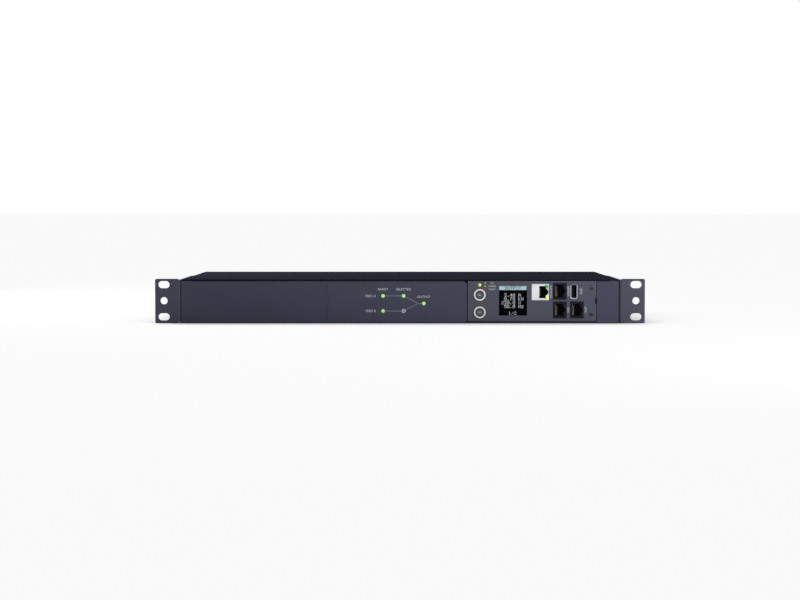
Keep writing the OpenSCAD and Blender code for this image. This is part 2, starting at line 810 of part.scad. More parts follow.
module reset_button() {
    rod_y(reset_d, back - 5.5, back + neck_out + 1);
    intersection() {
        rod_y(reset_d, back + neck_out, back + neck_out + 3);
        translate([0, back + neck_out + 1.8 - reset_d, 0]) sphere(reset_d);
    }
}

module reset_button_a() color([0.85, 0.85, 0.83]) translate([breaker_ax, 0, socket_z]) reset_button();
module reset_button_b() color([0.85, 0.85, 0.83]) translate([breaker_bx, 0, socket_z]) reset_button();

earth_nut_w = 2*earth_d;
earth_nut_h = 3;

module earth_stud() color([0.75, 0.72, 0.6]) translate([earth_x, 0, earth_z]) {
    rod_y(earth_d, rear_inner - earth_nut_h - 1, back + 4*earth_nut_h);
    for (y = [rear_inner, back + earth_nut_h]) translate([0, y, 0]) rotate([90, 0, 0])
        cylinder(d = earth_nut_w, h = earth_nut_h, $fn = 6);
}

// Mimic: printed overlay, lines, light pipes and the board behind them

module mimic_overlay() color([0.22, 0.22, 0.28]) difference() {
    box(mimic_left, panel_seam - bend, front - overlay_t, front, mimic_bottom, panel_top - bend);
    light_places() rod_y(light_d + 0.1, front - cut, front + cut);
    standby_place() rod_y(light_d + 0.1, front - cut, front + cut);
}

print_t = 0.1;

module mimic_lines() color([0.9, 0.9, 0.9]) along_y(front - overlay_t - print_t, front - overlay_t) {
    gap = light_d/2 + 0.5;
    mid = (feed_a_z + feed_b_z)/2;
    difference() {
        union() {
            for (z = [feed_a_z, feed_b_z])
                translate([status_x + gap, z - line_w/2]) square([select_x - status_x - gap, line_w]);
            for (s = [-1, 1]) {
                z = s > 0 ? feed_a_z : feed_b_z;
                polygon([
                    [select_x, z - line_w/2], [select_x, z + line_w/2],
                    [meet_x, mid + line_w/2], [meet_x, mid - line_w/2],
                ]);
            }
            translate([meet_x - line_w/4, mid - line_w/2]) square([output_x - meet_x, line_w]);
            translate([select_x, feed_b_z]) circle(d = light_d + 1.2);
        }
        translate([select_x, feed_a_z]) circle(gap);
        translate([select_x, feed_b_z]) circle(d = light_d + 0.1);
        translate([output_x, mid]) circle(gap);
    }
}

light_len = 6;

module light_pipe() {
    rod_y(light_d, front - overlay_t - 0.1, front + light_len);
}

module mimic_lights_on() color([0.4, 0.9, 0.35]) light_places() light_pipe();
module mimic_light_off() color([0.25, 0.27, 0.27]) standby_place() light_pipe();

module mimic_board() color([0.1, 0.35, 0.15]) {
    y0 = front + light_len + 2.2;
    box(status_x - 10, output_x + 10, y0, y0 + board_t, sheet_t + 1, panel_top - bend - sheet_t - 1);
    light_places() rod_y(3, front + light_len, y0 + board_t/2);
    standby_place() rod_y(3, front + light_len, y0 + board_t/2);
    for (x = [status_x - 7, output_x + 7])
        box(x - 1.5, x + 1.5, panel_back, y0, feed_a_z - 9, feed_a_z - 6);
}

// Control module: faceplate, tray and the board that stands behind the faceplate

notch_z = 17;
notch_h = 5.8;

module in_module(x, z) {
    translate([module_x + x, 0, module_z + z]) children();
}

button_hole_gap = 0.2;
jack_gap = 0.15;

module port_window(x, z, w, h) {
    in_module(x, z) box(-jack_gap, w + jack_gap, front - cut, face_back + cut, -jack_gap, h + jack_gap);
}

module module_faceplate() color([0.3, 0.31, 0.36]) difference() {
    box(module_x, module_right, front, face_back, module_z, module_top);
    for (z = [button_lower, button_upper]) in_module(button_x, z)
        rod_y(button_d + 2*button_hole_gap, front - cut, face_back + cut);
    in_module(button_x, status_z) rod_y(status_d + 0.1, front - cut, face_back + cut);
    in_module(display_x, display_z) box(0, display_w, front - cut, face_back + cut, 0, display_h);
    port_window(network_x, network_z, network_w, network_h);
    port_window(jack_x, jack_high_z, jack_w, jack_h);
    port_window(jack_x, jack_low_z, jack_w, jack_h);
    port_window(jack_second_x, jack_low_z, jack_w, jack_h);
    port_window(jack_second_x, usb_z, usb_w, usb_h);
    bracket_screw_places() rod_y(module_screw_d + 0.7, front - cut, face_back + cut);
    in_module(module_w - 1.5, notch_z) box(0, 2, front - cut, face_back + cut, 0, notch_h);
}

module module_screws() color([0.06, 0.06, 0.07]) bracket_screw_places() difference() {
    union() {
        rod_y(module_screw_d, front, bracket_y + bracket_t + 3);
        intersection() {
            rod_y(module_screw_head, front - 2, front);
            translate([0, front + 2.6, 0]) sphere(4);
        }
    }
    translate([0, front - 0.6, 0]) rotate([90, 0, 0]) cylinder(d = 2, h = 2, $fn = 6);
}

module_tray_left = module_x + 1;
module_tray_right = bracket_x - 0.8;
module_sheet = 1;
module_floor = sheet_t;

module module_tray() color([0.62, 0.63, 0.65]) difference() {
    union() {
        box(module_tray_left, module_tray_right, face_back, front + module_d,
            module_floor, module_floor + module_sheet);
        for (x = [module_tray_left, module_tray_right - module_sheet])
            box(x, x + module_sheet, face_back, front + module_d, module_floor, module_top - 4);
        box(module_x + display_x, module_tray_right, face_back, face_back + module_sheet,
            module_floor, module_z + jack_low_z - 0.6);
    }
    for (y = [board_y + 24 : 1.5*vent_pitch : front + module_d - 12]) translate([0, y, module_z + module_h/2])
        along_x(module_tray_left - cut, module_tray_right + cut) rotate(90) stadium(vent_h, vent_w);
}

module module_board() color([0.1, 0.35, 0.15])
    box(module_tray_left + module_sheet + 0.2, module_tray_right - module_sheet - 0.2,
        board_y, board_y + board_t, module_floor + module_sheet, module_top - 2);

// Buttons, their guides and their switches

stem_d = 5;
stem_end = face_back + 4;

module button_cap() {
    ring_in = button_d - 2*button_ring_w;
    difference() {
        rod_y(button_d, front - button_out, face_back + 0.1 + collar_t);
        difference() {
            rod_y(button_d + cut, front - button_out - cut, front - button_out + 0.4);
            rod_y(ring_in, front - button_out - 2*cut, front - button_out + 0.4);
        }
    }
    rod_y(collar_d, face_back + 0.1, face_back + 0.1 + collar_t);
    rod_y(stem_d, face_back + collar_t, stem_end);
}

module button_ring() difference() {
    rod_y(button_d, front - button_out, front - button_out + 0.4);
    rod_y(button_d - 2*button_ring_w, front - button_out - cut, front - button_out + cut);
}

module select_button() color([0.2, 0.2, 0.24]) in_module(button_x, button_upper) button_cap();
module enter_button() color([0.2, 0.2, 0.24]) in_module(button_x, button_lower) button_cap();
module select_ring() color([0.93, 0.93, 0.93]) in_module(button_x, button_upper) button_ring();
module enter_ring() color([0.93, 0.93, 0.93]) in_module(button_x, button_lower) button_ring();

module button_guides() color([0.08, 0.08, 0.08])
    for (z = [button_lower, button_upper]) in_module(button_x, z) difference() {
        rod_y(guide_d, face_back + 0.3, board_y);
        rod_y(guide_d - 2*guide_wall, face_back - cut, board_y + cut);
    }

module button_switches() color([0.12, 0.12, 0.12])
    for (z = [button_lower, button_upper]) in_module(button_x, z) {
        box(-3, 3, board_y - 3.8, board_y, -3, 3);
        rod_y(3.5, stem_end + button_travel + 0.3, board_y - 3);
    }

module status_light() color([0.75, 0.95, 0.3]) in_module(button_x, status_z) {
    rod_y(status_d, front, board_y);
    intersection() {
        rod_y(status_d, front - 0.6, front + 0.1);
        translate([0, front - 0.6 + status_d, 0]) sphere(status_d);
    }
}

// Display

window_gap = 0.1;
panel_margin = 0.9;

module display_window() color([0.02, 0.02, 0.03]) in_module(display_x, display_z)
    box(window_gap, display_w - window_gap, front + 0.15, front + 0.15 + window_t,
        window_gap, display_h - window_gap);

module display_panel() color([0.2, 0.22, 0.25]) in_module(display_x, display_z)
    box(window_gap, display_w - window_gap, front + 0.15 + window_t, face_back + 2.6,
        window_gap, display_h - window_gap);

module display_holder() color([0.85, 0.85, 0.83]) in_module(display_x, display_z) difference() {
    box(-panel_margin, display_w + panel_margin, face_back + 0.1, board_y,
        -panel_margin, display_h + panel_margin);
    box(window_gap/2, display_w - window_gap/2, face_back - cut, face_back + 2.6,
        window_gap/2, display_h - window_gap/2);
    box(2, display_w - 2, face_back, board_y + cut, 2, display_h - 2);
}

// Plug cavity, drawn with its contacts at x = 0 and the latch towards +X, centred on z

module plug_hole(y0, y1) along_y(y0, y1) {
    translate([0, -plug_w/2]) square([plug_h, plug_w]);
    translate([plug_h - cut, -latch[0][0]/2]) square([latch[0][1] + cut, latch[0][0]]);
    translate([plug_h + latch[0][1] - cut, -latch[1][0]/2]) square([latch[1][1] + cut, latch[1][0]]);
}

jack_out = 0.2;
comb_d = 0.6;
mouth_step = 0.35;                // the wider step round the mouth of a jack
mouth_depth = 0.5;

function contact_z(i, count) = (i - (count - 1)/2)*contact_pitch;

// Slots of the comb that the contacts stand in
module comb(count, y0) {
    for (i = [0:count - 1]) translate([-comb_d, 0, contact_z(i, count)])
        box(0, 1, y0, front + plug_d - 3, -0.27, 0.27);
}

module jack() {
    y0 = front - jack_out;
    difference() {
        box(0, jack_w, y0, board_y, 0, jack_h);
        translate([jack_side, 0, jack_h/2]) {
            plug_hole(y0 - cut, y0 + plug_d);
            comb(jack_contact_count, y0 - cut);
            along_y(y0 - cut, y0 + mouth_depth) translate([-mouth_step, -plug_w/2 - mouth_step])
                square([plug_h + 2*mouth_step, plug_w + 2*mouth_step]);
        }
    }
}

module sensor_jack() color([0.03, 0.03, 0.03]) in_module(jack_x, jack_high_z) jack();
module serial_jack() color([0.03, 0.03, 0.03]) in_module(jack_x, jack_low_z) jack();
module link_jack() color([0.03, 0.03, 0.03]) in_module(jack_second_x, jack_low_z) jack();

// Spring contacts, rooted in the combs and leaning into the cavity towards its back
contact = [0.35, plug_d - 4.1, 0.44];
contact_lean = 14;

module contact_row(count) {
    for (i = [0:count - 1]) translate([0, front + 1.2, contact_z(i, count)])
        rotate([0, 0, -contact_lean]) translate([-0.5, 0, -contact[2]/2]) cube(contact);
}

module jack_contacts() color([0.85, 0.68, 0.3]) {
    in_module(jack_x + jack_side, jack_high_z + jack_h/2) contact_row(jack_contact_count);
    for (x = [jack_x, jack_second_x])
        in_module(x + jack_side, jack_low_z + jack_h/2) contact_row(jack_contact_count);
    in_module(network_x + network_side, network_z + network_h/2) contact_row(network_contact_count);
}

shield_t = 0.3;
port_light = [2.4, 3.3];

module port_light_places(where) {
    for (s = where) translate([network_side + 6.6, 0, network_h/2 + s*(plug_w/2 - port_light[1]/2 + 0.9)])
        children();
}

module network_shield() color([0.8, 0.8, 0.8]) in_module(network_x, network_z) difference() {
    box(0, network_w, front - shield_t, board_y, 0, network_h);
    box(shield_t, network_w - shield_t, front, board_y + cut, shield_t, network_h - shield_t);
    translate([network_side, 0, network_h/2]) plug_hole(front - cut, front + cut);
    port_light_places([-1, 1])
        box(-cut, port_light[0], front - cut, front + cut, -port_light[1]/2, port_light[1]/2);
}

module network_insert() color([0.04, 0.04, 0.04]) in_module(network_x, network_z) difference() {
    box(shield_t, network_w - shield_t, front, board_y, shield_t, network_h - shield_t);
    translate([network_side, 0, network_h/2]) plug_hole(front - cut, front + plug_d);
    port_light_places([-1, 1])
        box(0, port_light[0], front - cut, front + 3, -port_light[1]/2, port_light[1]/2);
    translate([network_side, 0, network_h/2]) comb(network_contact_count, front - cut);
}

module port_lens() box(0, port_light[0], front - 0.3, front + 3, -port_light[1]/2, port_light[1]/2);

module network_light_green() color([0.3, 0.8, 0.3]) in_module(network_x, network_z)
    port_light_places([1]) port_lens();
module network_light_yellow() color([0.85, 0.75, 0.2]) in_module(network_x, network_z)
    port_light_places([-1]) port_lens();

// USB port standing on end: a drawn tube whose mouth flares out all round

usb_wall = 0.3;
usb_lip = 0.5;                    // how far the mouth stands out
usb_tube = [usb_w - 2*usb_flare, usb_h - 2*usb_flare];
usb_inner = [usb_tube[0] - 2*usb_wall, usb_tube[1] - 2*usb_wall];

module in_usb() {
    in_module(jack_second_x + usb_w/2, usb_z + usb_h/2) children();
}

module usb_shell() color([0.8, 0.8, 0.8]) in_usb() translate([0, front, 0])
    swept_frame(usb_tube[0], usb_tube[1], usb_corner_r) polygon([
        [usb_corner_r - usb_wall, front - board_y], [usb_corner_r, front - board_y],
        [usb_corner_r, -usb_flare/2 - usb_wall/2], [usb_corner_r + usb_flare, usb_lip - usb_wall],
        [usb_corner_r + usb_flare, usb_lip], [usb_corner_r - usb_wall, -usb_flare/2],
    ]);

// Plug of plastic at the root of the tube, with the tongue that carries the contacts
tongue_t = 1.8;
tongue_gap = 0.8;

module usb_tongue() color([0.08, 0.08, 0.09]) in_usb() {
    half = usb_inner[1]/2 - 1;
    along_y(board_y - 3, board_y) rounded(usb_inner[0], usb_inner[1], usb_corner_r - usb_wall);
    translate([tongue_gap - usb_inner[0]/2, 0, 0]) box(0, tongue_t, front + 2, board_y - 2, -half, half);
}

// Power stage

power_left = -side + power_margin;
power_right = module_tray_left - power_gap;
power_w = power_right - power_left;
power_y = front + power_front;
power_d = back - power_rear - power_y;
floor_top = sheet_t;
board_z = floor_top + standoff_h;
board_top = board_z + board_t;
standoff_x = [power_left + 6, power_left + power_w/2, power_left + power_w - 6];
standoff_y = [power_y + 6, power_y + power_d - 6];

module at_standoffs() {
    for (x = standoff_x, y = standoff_y) translate([x, y, 0]) children();
}

module insulation_sheet() color([0.85, 0.85, 0.8, 1]) difference() {
    box(power_left - 3, power_left + power_w + 1, power_y - 3, power_y + power_d + 3,
        floor_top, floor_top + 0.5);
    at_standoffs() cylinder(d = 8, h = 5);
}

module standoffs() color([0.8, 0.7, 0.4]) at_standoffs() {
    translate([0, 0, floor_top]) cylinder(d = 6.4, h = standoff_h, $fn = 6);
    translate([0, 0, floor_top]) cylinder(d = 2.9, h = standoff_h + board_t + 1);
    translate([0, 0, board_top]) cylinder(d = 5.5, h = 1.8);
}

module power_board() color([0.1, 0.35, 0.15]) difference() {
    box(power_left, power_left + power_w, power_y, power_y + power_d, board_z, board_top);
    at_standoffs() cylinder(d = 3.1, h = 20);
}

core_x = power_right - 8 - core_w/2;
sink_x = power_left + sink_margin;
sink_l = core_x - core_w/2 - sink_gap - sink_x;
sink_y = power_y + sink_front;
thyristor_count = floor((sink_l - 8)/(thyristor_w + 5));
sink_z = board_top + thyristor_h;

module thyristor_modules() color([0.1, 0.1, 0.1]) {
    step = (sink_l - 8)/thyristor_count;
    for (i = [0:thyristor_count - 1])
        translate([sink_x + 4 + (i + 0.5)*step, sink_y + sink_d/2, board_top])
            linear_extrude(thyristor_h) difference() {
                rounded(thyristor_w, thyristor_d, 3);
                for (s = [-1, 1]) translate([s*(thyristor_w/2 - 4), 0]) circle(d = 4);
            }
}

module heat_sink() color([0.75, 0.76, 0.78]) along_x(sink_x, sink_x + sink_l) translate([sink_y, sink_z]) {
    pitch = (sink_d - fin_t)/(fin_count - 1);
    square([sink_d, sink_base]);
    for (i = [0:fin_count - 1]) translate([i*pitch, sink_base - 0.5]) square([fin_t, fin_h + 0.5]);
}

relay_x = sink_x + relay_w/2 + 5.5;
relay_y = sink_y + sink_d + relay_gap;
relay_pitch = relay_w + 5;
relay_count = floor((sink_l - relay_w)/relay_pitch);

module bypass_relays() color([0.1, 0.15, 0.3])
    for (i = [0:relay_count - 1]) translate([relay_x + i*relay_pitch, relay_y + relay_d/2, board_top])
        linear_extrude(relay_h) rounded(relay_w, relay_d, 1);

sensor_count = 3;
sensor_y = power_y + power_d - 24;

module current_sensors() color([0.1, 0.1, 0.35]) {
    step = sink_l/sensor_count;
    for (i = [0:sensor_count - 1])
        translate([sink_x + (i + 0.5)*step, sensor_y, board_top + sensor_d/2]) rotate([90, 0, 0]) {
            difference() {
                cylinder(d = sensor_d, h = sensor_t);
                translate([0, 0, -cut]) cylinder(d = sensor_bore, h = sensor_t + 2*cut);
            }
            translate([-sensor_d/3, -sensor_d/2, 1]) cube([sensor_d*2/3, 3, sensor_t - 2]);
        }
}

module supply_transformers() color([0.3, 0.3, 0.33]) {
    pitch = core_d + 2*winding + 8;
    for (i = [0, 1]) translate([core_x, sink_y + core_d/2 + winding + i*pitch, board_top]) {
        box(-core_w/2, core_w/2, -core_d/2, core_d/2, 0, core_h);
        box(-core_w/3, core_w/3, -core_d/2 - winding, core_d/2 + winding, 3, core_h - 3);
    }
}

// Board on four feet, with its processor, its memory and the socket of its cable
control_foot = [5, 5];            // diameter and height
processor = [16, 16, 1.6];
memory = [12, 18, 1.4];
cable_socket = [16, 8, 9];

module control_board() color([0.1, 0.35, 0.15]) {
    foot_z = module_floor + module_sheet;
    inset = control_foot[0];
    left = (module_tray_left + module_tray_right - control_w)/2;
    translate([left, front + module_d - control_d - 4, foot_z]) {
        for (x = [inset, control_w - inset], y = [inset, control_d - inset]) translate([x, y, 0])
            cylinder(d = control_foot[0], h = control_foot[1] + 0.1);
        translate([0, 0, control_foot[1]]) {
            cube([control_w, control_d, board_t]);
            translate([control_w/3, control_d/3, board_t]) cube(processor);
            translate([control_w*2/3, control_d/5, board_t]) cube(memory);
            translate([control_w/11, control_d/10, board_t]) cube(cable_socket);
        }
    }
}

// Insulated wires from the pins of the inlets, by way of the breakers, to the power board

wire_bend = wire_d + 0.8;

module wire(y0, y1, z, z_end) {
    translate([0, 0, z]) rod_y(wire_d, y1 + wire_bend, y0);
    translate([0, y1 + wire_bend, z - wire_bend]) mirror([0, 1, 0]) rotate([0, -90, 0])
        rotate_extrude(angle = 90) translate([wire_bend, 0]) circle(d = wire_d);
    translate([0, y1, z_end]) cylinder(d = wire_d, h = z - wire_bend - z_end);
}

module wiring() color([0.15, 0.3, 0.7])
    for (x = [inlet_ax, inlet_bx], s = [-1, 1]) translate([x + s*pin_pitch, 0, 0])
        wire(back - sheet_t - socket_d - tab_len, power_y + power_d - 12, socket_z - pin_rise, board_top);

chassis_tray();
top_cover();
front_panel();
front_end_panel();
rear_panel();
module_bracket();
left_ear();
right_ear();
ear_screws();
cover_screws();
mimic_overlay();
mimic_lines();
mimic_lights_on();
mimic_light_off();
mimic_board();
module_faceplate();
module_tray();
module_screws();
module_board();
select_button();
enter_button();
select_ring();
enter_ring();
button_guides();
button_switches();
status_light();
display_window();
display_panel();
display_holder();
network_shield();
network_insert();
network_light_green();
network_light_yellow();
sensor_jack();
serial_jack();
link_jack();
jack_contacts();
usb_shell();
usb_tongue();
inlet_a();
inlet_b();
inlet_pins();
large_outlet();
outlet_bank_a();
outlet_bank_b();
breaker_bodies();
breaker_nuts();
reset_button_a();
reset_button_b();
earth_stud();
insulation_sheet();
standoffs();
power_board();
thyristor_modules();
heat_sink();
bypass_relays();
current_sensors();
supply_transformers();
control_board();
wiring();
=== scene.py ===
import math

import bmesh
import bpy
from bpy.props import FloatProperty, FloatVectorProperty, PointerProperty
from mathutils import Matrix, Vector


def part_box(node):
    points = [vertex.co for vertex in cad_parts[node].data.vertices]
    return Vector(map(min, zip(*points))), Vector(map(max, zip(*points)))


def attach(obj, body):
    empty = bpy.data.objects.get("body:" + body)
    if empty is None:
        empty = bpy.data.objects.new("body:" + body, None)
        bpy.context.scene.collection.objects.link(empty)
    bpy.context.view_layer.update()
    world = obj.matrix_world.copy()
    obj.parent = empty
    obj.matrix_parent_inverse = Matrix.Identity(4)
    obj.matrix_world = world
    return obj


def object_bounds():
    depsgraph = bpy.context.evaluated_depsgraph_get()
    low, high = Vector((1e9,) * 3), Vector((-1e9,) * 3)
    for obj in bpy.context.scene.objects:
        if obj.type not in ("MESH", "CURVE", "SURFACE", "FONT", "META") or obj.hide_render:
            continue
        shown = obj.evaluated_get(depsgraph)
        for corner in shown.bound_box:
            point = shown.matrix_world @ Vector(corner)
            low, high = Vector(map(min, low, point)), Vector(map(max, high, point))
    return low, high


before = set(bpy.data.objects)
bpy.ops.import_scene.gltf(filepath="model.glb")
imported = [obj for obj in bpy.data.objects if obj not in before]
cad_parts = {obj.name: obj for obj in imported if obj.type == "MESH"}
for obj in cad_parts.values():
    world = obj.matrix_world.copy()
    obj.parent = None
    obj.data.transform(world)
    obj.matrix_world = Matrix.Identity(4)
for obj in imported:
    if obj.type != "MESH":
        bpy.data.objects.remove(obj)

bl_info = {
    "name": "Rack transfer switch",
    "version": (1, 0, 0),
    "blender": (4, 5, 0),
    "location": "View3D > Sidebar > Transfer switch",
    "description": "Finishes, print, display and fine parts of a rack static transfer switch",
    "category": "Object",
}

MM = 0.001
CAD_LOW, CAD_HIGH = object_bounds()


# ---------------------------------------------------------------- Sizes and colours

def linear(red, green, blue):
    """A screen colour from 0 to 255, as the linear values that a shader takes."""
    return tuple(
        value/255/12.92 if value < 10.3 else ((value/255 + 0.055)/1.055)**2.4
        for value in (red, green, blue)
    )


def colour(name, description, red, green, blue):
    return FloatVectorProperty(
        name=name, description=description, size=3, subtype="COLOR", min=0, max=1,
        default=linear(red, green, blue),
    )


def length(name, description, millimetres):
    return FloatProperty(
        name=name, description=description, default=millimetres*MM, min=0, precision=5,
        subtype="DISTANCE", unit="LENGTH",
    )


def factor(name, description, value, most=1.0):
    return FloatProperty(name=name, description=description, default=value, min=0, max=most)


class CaseLook(bpy.types.PropertyGroup):
    case: colour("Case", "Powder coat of the tray, cover and rear panel", 46, 46, 57)
    panel: colour("Panels", "Powder coat of the front panels", 70, 72, 89)
    ear: colour("Ears", "Powder coat of the mounting ears", 70, 71, 86)
    module: colour("Module", "Powder coat of the control module", 82, 84, 98)
    screw: colour("Screws", "Black zinc on the screws", 26, 26, 29)
    grain: length("Grain", "Size of the bumps in the powder coat", 0.45)
    grain_depth: length("Grain depth", "Height of the bumps in the powder coat", 0.012)
    sheen: factor("Sheen", "How much the powder coat reflects", 0.12)
    cover_sheen: factor("Cover's sheen", "How much the cover's powder coat reflects", 0.0)
    ear_sheen: factor("Ears' sheen", "How much the ears' powder coat reflects", 0.25)
    # Painted shade: darkens the cover's front edge to stand in for the shadow in the gap between the cover
    # and the front panels
    edge_painted_shade: factor("Cover's edge", "Darkness of the cover's front edge", 0.45)


class PrintLook(bpy.types.PropertyGroup):
    ink: colour("Ink", "Colour of the printed words", 205, 208, 216)
    ink_t: length("Ink thickness", "Height of the print above its surface", 0.04)
    mimic_letter: length("Mimic letters", "Height of the letters on the mimic", 2.3)
    port_letter: length("Port letters", "Height of the letters by the ports", 1.9)
    legend_letter: length("Legend letters", "Height of the letters in the legend", 1.6)
    button_letter: length("Button letters", "Height of the letters on the buttons", 1.9)
    button_word: length("Button words", "Width that a word on a button may take", 6)
    legend_dot: length("Legend dots", "Diameter of the dots in the legend", 1.7)
    legend_step: length("Legend step", "Distance from one row of the legend to the next", 3.05)
    legend_rise: length("Legend rise", "Height of the first row above the status light's middle", 1.8)
    legend_gap: length("Legend gap", "Distance of the legend's dots from the status light", 5.4)
    legend_word: length("Legend words", "Width that a word in the legend may take", 9.5)
    legend_left: length("Legend shift", "How far its words are left of the middle of their space", 0.3)


class LightLook(bpy.types.PropertyGroup):
    lit: colour("Lit lights", "Colour of the mimic's lit lights", 160, 222, 118)
    status: colour("Status light", "Colour of the status light", 200, 218, 84)
    digits: colour("Digits", "Colour of the display's dots", 205, 214, 218)
    header: colour("Header", "Colour of the display's header band", 168, 202, 210)
    glow: factor("Glow", "Strength of the lights and the display", 0.46, 5.0)
    dot: length("Dot", "Width of one of the display's dots", 0.4)
    dot_pitch: length("Dot pitch", "Distance from one of the display's dots to the next", 0.465)
    band_inset: length("Band inset", "Gap between the header band and the window's edges", 0.15)
    row_drop: length("Row drop", "Depth of the first row of figures below the window's top", 9.2)
    row_left: length("Row margin", "Distance of the figures from the window's left side", 3.5)
    page_rise: length("Page rise", "Height of the page number above the window's foot", 2.2)
    page_left: length("Page shift", "Distance of the page number left of the window's middle", 0.4)


class FineParts(bpy.types.PropertyGroup):
    spring_w: length("Spring width", "Width of a contact spring in an outlet", 1.6)
    spring_t: length("Spring thickness", "Thickness of a contact spring", 0.35)
    spring_reach: length("Spring reach", "Length of a contact spring", 8)
    spring_root: length("Spring root", "Half the gap between a pair of springs at their roots", 0.9)
    spring_bow: length("Spring bow", "How far a spring's middle is drawn past its pair's axis", 0.35)
    spring_tip: length("Spring tip", "Half the gap between a pair of springs at their tips", 1.0)
    spring_belly: factor("Spring belly", "Where along its reach a spring bows", 0.55)
    spring_depth: length("Spring depth", "Distance of the springs' roots from a socket's inner end", 15)
    large_x: length("Large slots", "Distance of the large outlet's outer slots from its middle", 6.5)
    large_z: length("Large slots' rise", "Distance of the large outlet's slots from its middle line", 4)
    small_x: length("Small slots", "Distance of a small outlet's outer slots from its middle", 7)
    small_z: length("Small slots' rise", "Distance of a small outlet's slots from its middle line", 1.6)
    stud_r: length("Stud radius", "Radius of the thread on the earth stud", 1.95)
    stud_run: length("Stud's thread", "Length of the threaded end of the earth stud", 7)
    stud_turns: factor("Stud turns", "Turns of the thread on the earth stud", 8, 50)
    neck_r: length("Neck radius", "Radius of the thread on the breaker necks", 4.65)
    neck_turns: factor("Neck turns", "Turns of the thread that show beyond a breaker's nut", 4.6, 50)
    neck_gap: length("Neck gap", "Distance from a breaker's nut to its first turn of thread", 0.3)
    stud_pitch: length("Stud pitch", "Pitch of the thread on the earth stud", 0.7)
    neck_pitch: length("Neck pitch", "Pitch of the thread on the breaker necks", 0.75)
    thread_depth: length("Thread depth", "Height of the threads", 0.3)
    outlet_pitch: length("Outlet pitch", "Distance from one small outlet to the next", 31.2)


class StageLook(bpy.types.PropertyGroup):
    distance: length("Distance", "Distance of the camera from the middle of the case", 2150)
    eye: length("Eye height", "Height of the camera above the floor", 115)
    target: length("Target height", "Height that the camera looks at", 22.9)
    lens: FloatProperty(name="Lens", description="Focal length in millimetres", default=92.8, min=1)
    key: FloatProperty(name="Key", description="Power of the light at the front right", default=5.5, min=0)
    rim: FloatProperty(name="Rim", description="Power of the light at the back left", default=6.5, min=0)
    sky: factor("Sky", "Strength of the light from all round", 0.17, 3.0)


# ---------------------------------------------------------------- Shader trees

class Value:
    """A number or vector in a shader tree. Python's operators on it add Math nodes."""

    def __init__(self, finish, socket):
        self.finish = finish
        self.socket = socket

    def maths(self, operation, *others):
        values = dict(enumerate((self,) + others))
        return self.finish.node("ShaderNodeMath", {"operation": operation}, values)

    def __add__(self, other):
        return self.maths("ADD", other)

    __radd__ = __add__

    def __sub__(self, other):
        return self.maths("SUBTRACT", other)

    def __rsub__(self, other):
        return (self*-1.0) + other

    def __mul__(self, other):
        return self.maths("MULTIPLY", other)

    __rmul__ = __mul__

    def __truediv__(self, other):
        return self.maths("DIVIDE", other)

    def __lt__(self, other):
        return self.maths("LESS_THAN", other)

    def fraction(self):
        return self.maths("FRACT")


# The Mix node has sockets of the same name for each kind of value: these are the ones for colours
MIX_FACTOR, MIX_ONE, MIX_TWO, MIX_RESULT = 0, 6, 7, 2


class Finish:
    """A material with its shader tree, on Object coordinates."""

    def __init__(self, name, colour, roughness=0.5, metallic=0.0, specular=0.5):
        self.material = bpy.data.materials.new(name)
        self.material.use_nodes = True
        self.tree = self.material.node_tree
        self.shader = self.tree.nodes["Principled BSDF"]
        self.colour = (*colour, 1.0)
        self.place = self.node("ShaderNodeTexCoord", output="Object")
        self.material.diffuse_color = self.colour
        self.put({
            "Base Color": self.colour, "Roughness": roughness, "Metallic": metallic,
            "Specular IOR Level": specular,
        })

    def node(self, kind, settings=None, values=None, output=0):
        """Adds a node: its settings first, then the values or links of its sockets."""
        made = self.tree.nodes.new(kind)
        for name, setting in (settings or {}).items():
            setattr(made, name, setting)
        self.fill(made, values or {})
        return Value(self, made.outputs[output])

    def fill(self, node, values):
        for name, value in values.items():
            if isinstance(value, Value):
                self.tree.links.new(value.socket, node.inputs[name])
            else:
                node.inputs[name].default_value = value

    def put(self, values):
        """Sets or links sockets of the surface shader."""
        self.fill(self.shader, values)

    def axis(self, name):
        return self.node("ShaderNodeSeparateXYZ", values={"Vector": self.place}, output=name)

    def noise(self, size, detail=2.0, stretch=None):
        """Noise from 0 to 1 with features of that size in metres, drawn out along an axis by stretch."""
        place = self.place
        if stretch:
            place = self.node("ShaderNodeMapping", values={"Vector": place, "Scale": stretch})
        values = {"Vector": place, "Scale": 1/size, "Detail": detail, "Roughness": 0.55}
        return self.node("ShaderNodeTexNoise", values=values)

    def range(self, value, low, high):
        """A value from 0 to 1, spread from low to high."""
        return value*(high - low) + low

    def blend(self, mask, one, two):
        """The first colour where the mask is 0, the second where it is 1."""
        values = {MIX_FACTOR: mask, MIX_ONE: one, MIX_TWO: two}
        return self.node("ShaderNodeMix", {"data_type": "RGBA"}, values, output=MIX_RESULT)

    def shade(self, amount):
        """The base colour, made that many times as bright."""
        return self.node(
            "ShaderNodeVectorMath", {"operation": "SCALE"},
            {0: self.colour[:3], "Scale": amount},
        )

    def round_spot(self, solids_there, radius):
        """A mask that is 1 near the axis of each solid, which runs from front to back."""
        mask = None
        for low, high in solids_there:
            across = self.axis("X") - (low.x + high.x)/2
            up = self.axis("Z") - (low.z + high.z)/2
            spot = across*across + up*up < radius*radius
            mask = spot if mask is None else mask.maths("MAXIMUM", spot)
        return mask

    def bump(self, height, distance):
        values = {"Height": height, "Distance": distance, "Strength": 1.0}
        self.put({"Normal": self.node("ShaderNodeBump", values=values)})

    def coat(self, *nodes):
        """Puts the finish on these CAD nodes."""
        for name in nodes:
            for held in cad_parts[name].material_slots:
                held.material = self.material
        return self


